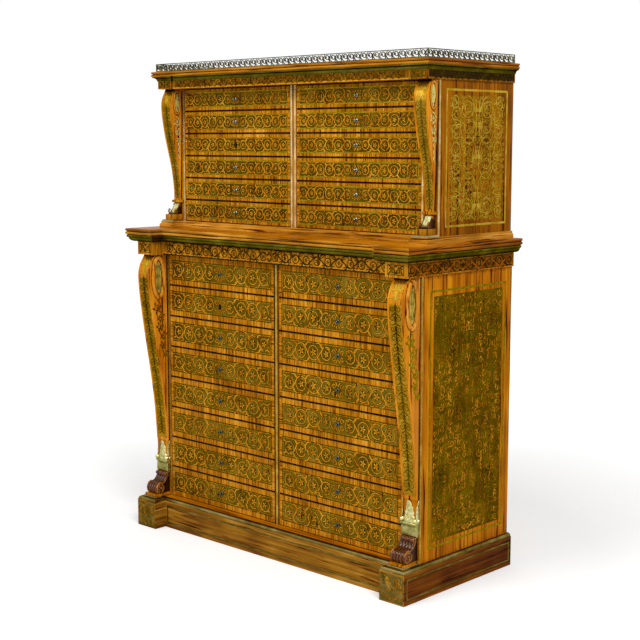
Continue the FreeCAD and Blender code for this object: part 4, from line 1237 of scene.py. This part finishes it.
# Painted shadow under the frieze, in the dark cut-line finish.
inlay("lower_frieze_shadow_line", [plate(-frieze_inner, 0, frieze_inner, shadow_top)], frieze_foot, FRONT,
      mastic_and_painted_shadow, "brass")


def block_panel(name, half, rise, place, finish, slot):
    """A small mirrored scroll for an end block, with a line round it."""
    scroll = branch((1.5, -0.6 * rise), (0.5 * half, 0), 0.3 * min(half, rise * 1.6), -1, 2.4)
    scroll += palmette((0.5, -0.75 * rise), 0.8 * rise, 1, 1.6, 3)
    scroll += palmette((0.5, 0.9 * rise), 0.5 * rise, -1, 1.2, 3)
    scroll += [leaf((0.62 * half, up * 0.55 * rise), (0.92 * half, up * 0.85 * rise), 0.1, 3.5)
               for up in (-1, 1)]
    scroll.append(edging(-half, -rise, half, rise, 1.6))
    return inlay(name, scroll + flipped(scroll), place, FRONT, finish, slot, proud=0.45)


side_run = roundels(5, first=26, pitch=49, radius=14.5, weight=4.0, petals=5, steps=14)
side_middle, side_half, side_rise = 246, 240, 17
for side, side_name, facing in SIDES:
    block_face = front_face(frieze_block_depth, side * (frieze_half - frieze_block / 2), frieze_middle)
    block_panel(f"lower_frieze_block_{side_name}", 29, 14, block_face, brass_engraved, "brass")
    face = side_face(frieze_half, side_middle, frieze_middle, side)
    inlay(f"lower_frieze_side_{side_name}_field", [plate(-side_half, -side_rise, side_half, side_rise)], face,
          facing, brass_brown, "brass")
    inlay(f"lower_frieze_side_{side_name}_scrolls", side_run + flipped(side_run), face, facing,
          red_scroll_wood, "rosewood", proud=0.45)

# Waist: a roll of drawn brass on a swelling ovolo, mitred round the frieze, and over it a slab of rosewood
# with two reeds worked on its edge. The brass is a dark olive with one bright line. The reeds are light in
# front and, as painted shade, redder and darker at the ends.
brass_moulding = sheet_brass("drawn_brass_moulding", shades("#4A4210", "#645A1A", "#7E742A"), 0.28, 60)
reed_wood = rosewood("rosewood_reeds", 5, 200, "level",
                     [(0.28, "#583006"), (0.42, "#986012"), (0.54, "#C48626"), (0.68, "#E2A84C")])
# Darker reeds for the ends: painted shade.
reed_ends_painted_shade = rosewood("rosewood_reed_ends", 5, 200, "level",
                     [(0.28, "#462002"), (0.42, "#7A4006"), (0.54, "#9C5A0C"), (0.68, "#B87218")])
waist_roll = [(0, 0), (4, 0)] + quarter((4, 13), 17, 13, -80, -5, 7) + quarter((21, 18), 5, 5, -90, 90)
waist_roll.append((0, 23))
frieze_plan = breakfront(frieze_half, frieze_block, frieze_block_depth, frieze_depth)
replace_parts(moulding("waist_roll", frieze_plan, waist_roll, frieze_high, brass_moulding, "brass"),
            "waist_brass_moulding")
lipping = 14


def reeded_slab(name, plan, core_boxes, low, high, finish):
    """A slab whose edge has two reeds with a groove between them painted dark as shade, in lengths mitred
    round the plan. The end lengths take a darker wood finish as painted shade."""
    groove, groove_reach = 1.6, 10
    half = (high - low - groove) / 2
    reed = [(0, 0)] + quarter((lipping - half / 2, half / 2), half / 2, half / 2, -90, 90) + [(0, half)]
    edges = [moulding(f"{name}_reed_{word}", plan, reed, bottom, finish, "rosewood")
             for word, bottom in (("lower", low), ("upper", high - half))]
    end_wall = abs(plan[0][0]) * MM - 1e-5
    for edge in edges:
        edge.data.materials.append(reed_ends_painted_shade)
        alone(edge)
        bpy.ops.object.mode_set(mode="EDIT")
        bpy.ops.mesh.select_mode(type="FACE")
        # End lengths take the darker reed finish as painted shade.
        pick(edge, lambda centre, normal: abs(centre.x) > end_wall)
        paint(edge, 1)
        bpy.ops.object.mode_set(mode="OBJECT")
    # The groove is painted dark as shade.
    moulding(f"{name}_groove_shade", plan, [(0, 0), (groove_reach, 0), (groove_reach, groove), (0, groove)],
             low + half, edge_shadow, "rosewood")
    for number, (left, right, back, front) in enumerate(core_boxes):
        core = block(f"{name}_core_{number + 1}", spot(left, front, low), spot(right, back, high))
        fit(core, rosewood_slab, "rosewood")
    return edges[0]


waist_low, waist_high, waist_half, waist_ear = 970, 989, 596, 128
waist_edge, ear_inner = waist_half - lipping, waist_half - waist_ear + lipping
waist_front, ear_front = 475 - lipping, 520 - lipping
waist_plan = breakfront(waist_edge, waist_ear - 2 * lipping, ear_front, waist_front)
waist_cores = [(-waist_edge, waist_edge, 0, waist_front), (ear_inner, waist_edge, waist_front, ear_front),
               (-waist_edge, -ear_inner, waist_front, ear_front)]
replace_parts(reeded_slab("waist_slab", waist_plan, waist_cores, waist_low, waist_high, reed_wood),
            "waist_slab")

# Base and carcass of the upper chest: a stepped moulding round a bottom board, then sides, stiles,
# partition, dustboards and back made like the lower ones, standing on the slab by their own weight. The
# sides are a browner veneer with brass let straight into the wood, and the brass strips are painted pale as
# a reflection.
dress(reed_wood, "upper_base_moulding")
dress(rosewood_upright, "upper_stiles", "upper_centre_partition")
rosewood_dark_sides = rosewood("rosewood_upper_sides", 9, 220, "up",
                               [(0.28, "#4A2400"), (0.42, "#784200"), (0.54, "#985802"), (0.68, "#B2700C")])
dress(rosewood_dark_sides, "upper_sides")
dress(lining_wood, "upper_dustboards", "upper_back_panel")
# Pale brass whose paleness is a painted reflection.
brass_pale = sheet_brass("pale_brass_strip_painted_reflection", shades("#A48A4C", "#C8AE70", "#E8D4A4"), 0.6, 40)
dress(brass_pale, "upper_brass_strips")
brass_fine = sheet_brass("brass_fine_scrolls", shades("#90741A", "#AC8C26", "#C8AA44"), 0.36, 20)
brass_band = sheet_brass("brass_strapwork", shades("#A88622", "#C29E32", "#DABC58"), 0.36, 20)
side_panel("upper", half=553, back=28, front=313, bottom=1032, top=1412, margin=5, columns=7, rows=22,
           waves=3, ground=None, scrolls=(brass_fine, "brass"), bands=(brass_band, "brass"),
           frame_line=(brass_band, "brass"))

# Drawers of the upper chest: made like the lower ones but shallower, with a narrower cross-band, a yellow
# brass line and a finer scroll of more roundels. The brass ground is darker and the steel of the knobs
# paler. Both lock bolts are steel and slide in the lock cases.
upper_run = rinceau(centres=(34, 70, 106, 142, 178, 211), radii=(14, 15.5, 16, 16, 15.5, 13.5), weight=2.8,
                    petals=5)
steel_pale = sheet_brass("turned_pale_steel_knob",
                         [(0.35, "#56564A"), (0.5, "#7C7C6C"), (0.65, "#A8A898")], 0.28, 1.2)
brass_upper = sheet_brass("brass_upper_panel", shades("#48380A", "#604E0E", "#7A661A"), 0.4, 50)
drawers("upper", rows=6, locked=3, band_end=10, band=10, line=3, gap=1.2, pattern=upper_run,
        panel=brass_upper, border=brass_line, knob_finish=steel_pale)
dress(steel_turned, "lower_lock_bolt", "upper_lock_bolt")

# Consoles of the upper chest: the same scroll in rosewood, smaller and narrowing downward in front view,
# with a sunk brass front and a ring on each cheek, screwed to the stiles. The medals and sprays are a pale
# wood whose colour paints the bright reflection of gilt.
# Pale wood standing in for gilt: its colour is a painted reflection.
gilt_medal = rosewood("pale_gilt_medal", 3, 12, "up",
                      [(0.3, "#9A8A3A"), (0.45, "#C2B25C"), (0.6, "#DED28A"), (0.75, "#F0E8BA")])
UPPER_SCROLL = [(376, 1435), (393, 1402), (395, 1362), (384, 1282), (361, 1178), (351, 1077)]
upper_x, upper_wide, upper_narrow, upper_wall = 529, 48, 30, 345
shoulder, upper_lip, upper_foot = 1350, 3.4, 1077
upper_console, upper_curve = console("upper_console_right", UPPER_SCROLL, upper_wall, upper_x, upper_wide,
                                     upper_narrow, shoulder, upper_lip, sink)
upper_front, upper_length = down_the_scroll(upper_curve, upper_x, upper_wide, upper_narrow, shoulder, sink)
upper_pieces = [upper_console]
upper_pieces += console_marquetry("upper_console_right", upper_front, length=upper_length - 8, half=20.2,
                                  unit=25, top=48, weight=2.1, dark=0)
ring_depth, ring_height = 369, 1392
# Painted shadow along the back edge of each cheek, where it meets the stile.
back_joint = strip([(-20.7, 38 - 35 * step) for step in range(11)], taper(3.4, 3.4))
trail = branch((4, -46), (0, -62), 11, 1, 3.2) + branch((2, -74), (-4, -92), 9, -1, 3.0)
trail += branch((-2, -102), (-8, -118), 7, 1, 2.6)
trail += [leaf((-8 - step, -126 - 18 * step), (-11 - step, -146 - 18 * step), 0.15, 5) for step in range(3)]
for cheek, word, facing in CHEEKS:
    name = f"upper_console_right_{word}"

    def tapered(across, up, way=cheek):
        """Puts a flat pattern on a cheek that leans in below the shoulder."""
        fall = max(0.0, shoulder - ring_height - up) / (shoulder - upper_foot)
        half = (upper_wide + (upper_narrow - upper_wide) * fall) / 2
        return spot(upper_x + way * half, ring_depth + across, ring_height + up)

    upper_pieces += cheek_oval(name, upper_x + cheek * upper_wide / 2, ring_depth, ring_height, facing,
                               ring=(13, 36, 6), eye=(15.5, 38.5), groove=(13, 36, 9), medal=(8, 30),
                               medal_finish=gilt_medal)
    upper_pieces += [inlay(name + "_joint", [back_joint], tapered, facing, edge_shadow, "rosewood"),
                     inlay(name + "_spray", trail, tapered, facing, gilt_medal, "rosewood")]
for piece in upper_pieces:
    mirror_to_left(piece)
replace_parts(upper_console, "upper_consoles")

# Feet of the upper consoles: a small scroll carved in rosewood with two volutes on each cheek, a pale gilt
# plaque let into its slope, a cap above and a squared block below, all glued.
upper_sole, slope_low, slope_high, foot_half, plaque_wide = 1014, 1031, 1069, 15, 21
slope = flowing([(350, slope_high), (355, 1062), (363, 1049), (372, 1038), (380, 1033), (384, slope_low)], 4)
foot_slope = sawn("foot_slope", [(upper_wall, slope_low)] + slope[::-1] + [(upper_wall, slope_high)],
                  upper_x - foot_half, upper_x + foot_half)
soften(foot_slope, 1)
volutes = ((spiral((372, 1041), 8, 2, math.pi / 2, -1.6, 20), 3.5),
           (spiral((354, 1062), 5, 1.5, -math.pi / 2, -1.4, 16), 2.6))
scrolls = [rod("volute", upper_x + cheek * foot_half, path, thick)
           for path, thick in volutes for cheek in (-1, 1)]
# The slope takes the same near-black core finish: dark wood darkened as painted shade.
joined("upper_console_right_foot_core", [foot_slope], dark_core_and_shade, "carved_rosewood")
foot_scrolls = joined("upper_console_right_foot", scrolls, carved_rosewood, "carved_rosewood")
cap_block = block("cap", spot(upper_x - 22, 358, slope_high), spot(upper_x + 22, upper_wall, upper_foot))
base_block = block("base", spot(upper_x - 18.5, 389, upper_sole), spot(upper_x + 18.5, upper_wall, slope_low))
for piece in (cap_block, base_block):
    soften(piece, 1.4)
joined("upper_console_right_blocks", [cap_block, base_block], rosewood_frieze, "rosewood")
down_the_slope = down_the_scroll(slope, upper_x, 2 * foot_half, 2 * foot_half, 1040, 0)[0]
gilt_strip = strip([(0, step) for step in range(2, 44, 4)], lambda share: plaque_wide)
plaque = inlay("upper_console_right_plaque", [gilt_strip], down_the_slope, FRONT, gilt, "gilt_brass",
               proud=1.2)
mirror_to_left(plaque)
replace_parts(foot_scrolls, "upper_console_feet")

# Upper frieze: a board between two end blocks in brown rosewood, let in with a small running scroll cut
# dark, above a plain light edge. The side boards are veneered dark and painted almost black as the shade
# under the cornice, with dull brass scrolls. It is glued to the top of the carcass.
top_frieze_wood = rosewood("rosewood_upper_frieze", 6, 90, "up",
                           [(0.28, "#442600"), (0.42, "#704404"), (0.56, "#8E5A0C"), (0.70, "#A8741E")])
rosewood_shade = rosewood("rosewood_dark_frieze_painted_shade", 5, 90, "level",
                          shades("#120802", "#241404", "#38200A"))
dress(top_frieze_wood, "upper_frieze")
top_low, top_high, top_depth, top_block_depth, top_half, top_block = 1435, 1460, 398, 403, 558, 65
top_middle = (top_low + top_high) / 2
top_face = front_face(top_depth, 0, top_middle + 2)
small_run, small_side_run = [roundels(count, first=12, pitch=24, radius=7, weight=2.2, petals=4, steps=10)
                             for count in (20, 8)]
inlay("upper_frieze_scrolls", small_run + flipped(small_run), top_face, FRONT, mastic_and_painted_shadow, "brass")
inlay("upper_frieze_edge", [plate(-490, -14.5, 490, -10.5)], top_face, FRONT, scroll_wood, "rosewood")
for side, side_name, facing in SIDES:
    block_face = front_face(top_block_depth, side * (top_half - top_block / 2), top_middle + 1)
    block_panel(f"upper_frieze_block_{side_name}", 26, 8.5, block_face, brass_engraved, "brass")
    face = side_face(top_half, 200, top_middle + 2, side)
    # Near-black side boards: dark veneer with painted shade from the cornice above.
    inlay(f"upper_frieze_side_{side_name}", [plate(-196, -9.5, 196, 9.5)], face, facing, rosewood_shade,
          "rosewood")
    inlay(f"upper_frieze_side_{side_name}_scrolls", small_side_run + flipped(small_side_run), face, facing,
          brass_engraved, "brass", proud=0.45)

# Cornice: a hollow moulding of drawn brass, mitred round the frieze and pinned, then the top slab of
# rosewood with two reeds on its edge, a shade browner than those of the waist.
hollow = [(0, 0), (2, 0)] + quarter((13, 0), 11, 11, 180, 90, 9) + [(13, 14), (0, 14)]
top_plan = breakfront(top_half, top_block, top_block_depth, top_depth)
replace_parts(moulding("cornice_hollow", top_plan, hollow, top_high, brass_moulding, "brass"),
            "cornice_brass_moulding")
brown_reed_wood = rosewood("rosewood_dark_reeds", 5, 200, "level",
                           [(0.28, "#4A2604"), (0.42, "#824C08"), (0.54, "#AE7014"), (0.68, "#CE9430")])
cornice_low, cornice_high, cornice_edge, cornice_front = 1474, 1490, 574 - lipping, 419 - lipping
cornice_plan = [(-cornice_edge, 0), (-cornice_edge, cornice_front), (cornice_edge, cornice_front),
                (cornice_edge, 0)]
cornice = reeded_slab("cornice_slab", cornice_plan, [(-cornice_edge, cornice_edge, 0, cornice_front)],
                      cornice_low, cornice_high, brown_reed_wood)
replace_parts(cornice, "cornice_slab")

# Gallery: brass plate pierced with a running scroll, with a rail above and below, pinned along the front
# and both sides of the top. It is dark with age and glints along its upper edges.
gallery_low, gallery_high, gallery_half, gallery_back, plate_thick = 1490, 1515, 562, 8, 2.5
gallery_front = 407 - plate_thick
brass_gallery = sheet_brass("pierced_brass_gallery", shades("#2E2C16", "#55533A", "#8E8B70"), 0.3, 25)


def pierced_run(name, length, place, facing):
    """One side of the gallery: rails, end posts and a row of linked scrolls between them."""
    tall, rail, top_rail, post, pitch = gallery_high - gallery_low, 3, 2.4, 2, 23
    units = int(length // pitch)
    step = (length - 2 * post) / units
    strips = [plate(0, 0, length, rail), plate(0, tall - top_rail, length, tall), plate(0, 0, post, tall),
              plate(length - post, 0, length, tall)]
    for number in range(units):
        middle = post + (number + 0.5) * step
        centre = (middle - 3, tall / 2 + 0.5)
        strips.append(strip(spiral(centre, 8.6, 3.2, math.pi * 1.1, -1.2, 12), taper(2.4, 1.8)))
        strips.append(strip(bow((middle + 4.5, tall / 2 + 5), (middle + step - 10, rail), -0.12, 3),
                            taper(2.4, 2.0)))
        strips.append(leaf((middle + 5, rail), (middle + step / 2, tall - rail), 0.15, 3.2, 3))
    return inlay(name, strips, place, facing, brass_gallery, "brass", proud=plate_thick)


front_run = pierced_run("gallery_front", 2 * gallery_half,
                        front_face(gallery_front, -gallery_half, gallery_low), FRONT)
for side, side_name, facing in SIDES:
    pierced_run(f"gallery_{side_name}", gallery_front - gallery_back, lambda across, up, way=side: spot(
        way * (gallery_half - plate_thick), gallery_front - across, gallery_low + up), facing)
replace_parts(front_run, "gallery")

# Floor and light: a sheet of white paper that takes a soft shadow and glows to white away from it, a white
# room that metal mirrors, one broad lamp to the right of the camera and a weaker one to the left.
bpy.ops.object.select_all(action="DESELECT")
bpy.ops.mesh.primitive_plane_add(size=30, location=(0, 0, -0.0005))
floor = bpy.context.object
floor.name = "studio_floor"
paper = blank_finish("white_paper_floor")
where = add_node(paper, "Mapping", {"Vector": add_node(paper, "TexCoord").outputs["Object"],
                                    "Scale": (0.45, 0.45, 0.45)}).outputs["Vector"]
near = add_node(paper, "TexGradient", {"Vector": where}, gradient_type="SPHERICAL").outputs["Fac"]
lift = add_node(paper, "MapRange", {"Value": near, "From Max": 0.6, "To Min": 0.62,
                                    "To Max": 0.25}).outputs["Result"]
lit = add_node(paper, "BsdfDiffuse", {"Color": linear("#F4F4F4")}).outputs["BSDF"]
glow = add_node(paper, "Emission", {"Color": linear("#FFFFFF"), "Strength": lift}).outputs["Emission"]
both = add_node(paper, "AddShader", {0: lit, 1: glow}).outputs["Shader"]
camera_ray = add_node(paper, "LightPath").outputs["Is Camera Ray"]
seen = add_node(paper, "MixShader", {0: camera_ray, 1: lit, 2: both}).outputs["Shader"]
add_node(paper, "OutputMaterial", {"Surface": seen})
floor.data.materials.append(paper)

world = bpy.data.worlds.new("studio_world")
bpy.context.scene.world = world
world.use_nodes = True
world.node_tree.nodes.clear()
rays = add_node(world, "LightPath").outputs
shown = rays["Is Camera Ray"]
for kind in ("Is Glossy Ray", "Is Transmission Ray"):
    shown = add_node(world, "Math", {0: shown, 1: rays[kind]}, operation="MAXIMUM").outputs[0]
ambient, white = [add_node(world, "Background", {"Color": linear("#FFFFFF"),
                                                 "Strength": strength}).outputs["Background"]
                  for strength in (0.45, 1.0)]
sky = add_node(world, "MixShader", {0: shown, 1: ambient, 2: white}).outputs["Shader"]
add_node(world, "OutputWorld", {"Surface": sky})


def lamp(name, place, power, width):
    """A square lamp that shines on the middle of the cabinet."""
    data = bpy.data.lights.new(name, "AREA")
    data.energy = power
    data.size = width
    made = bpy.data.objects.new(name, data)
    made.location = place
    made.rotation_euler = (Vector((0, 0, 0.8)) - Vector(place)).to_track_quat("-Z", "Y").to_euler()
    bpy.context.collection.objects.link(made)


lamp("key_lamp", (2.9, -1.7, 3.5), power=95, width=1.6)
lamp("fill_lamp", (-0.6, -3.6, 3.2), power=80, width=2.0)

# Camera: where the photograph was taken from, found by fitting a camera to the corners of the cabinet.
camera_data = bpy.data.cameras.new("camera")
camera_data.lens = 73.6
camera_data.sensor_width = 36
camera = bpy.data.objects.new("camera", camera_data)
camera.location = (2.7815, -2.9131, 1.2707)
camera.rotation_euler = (math.radians(82.188), 0, math.radians(43.372))
bpy.context.collection.objects.link(camera)
bpy.context.scene.camera = camera
bpy.context.scene.view_settings.view_transform = "Standard"
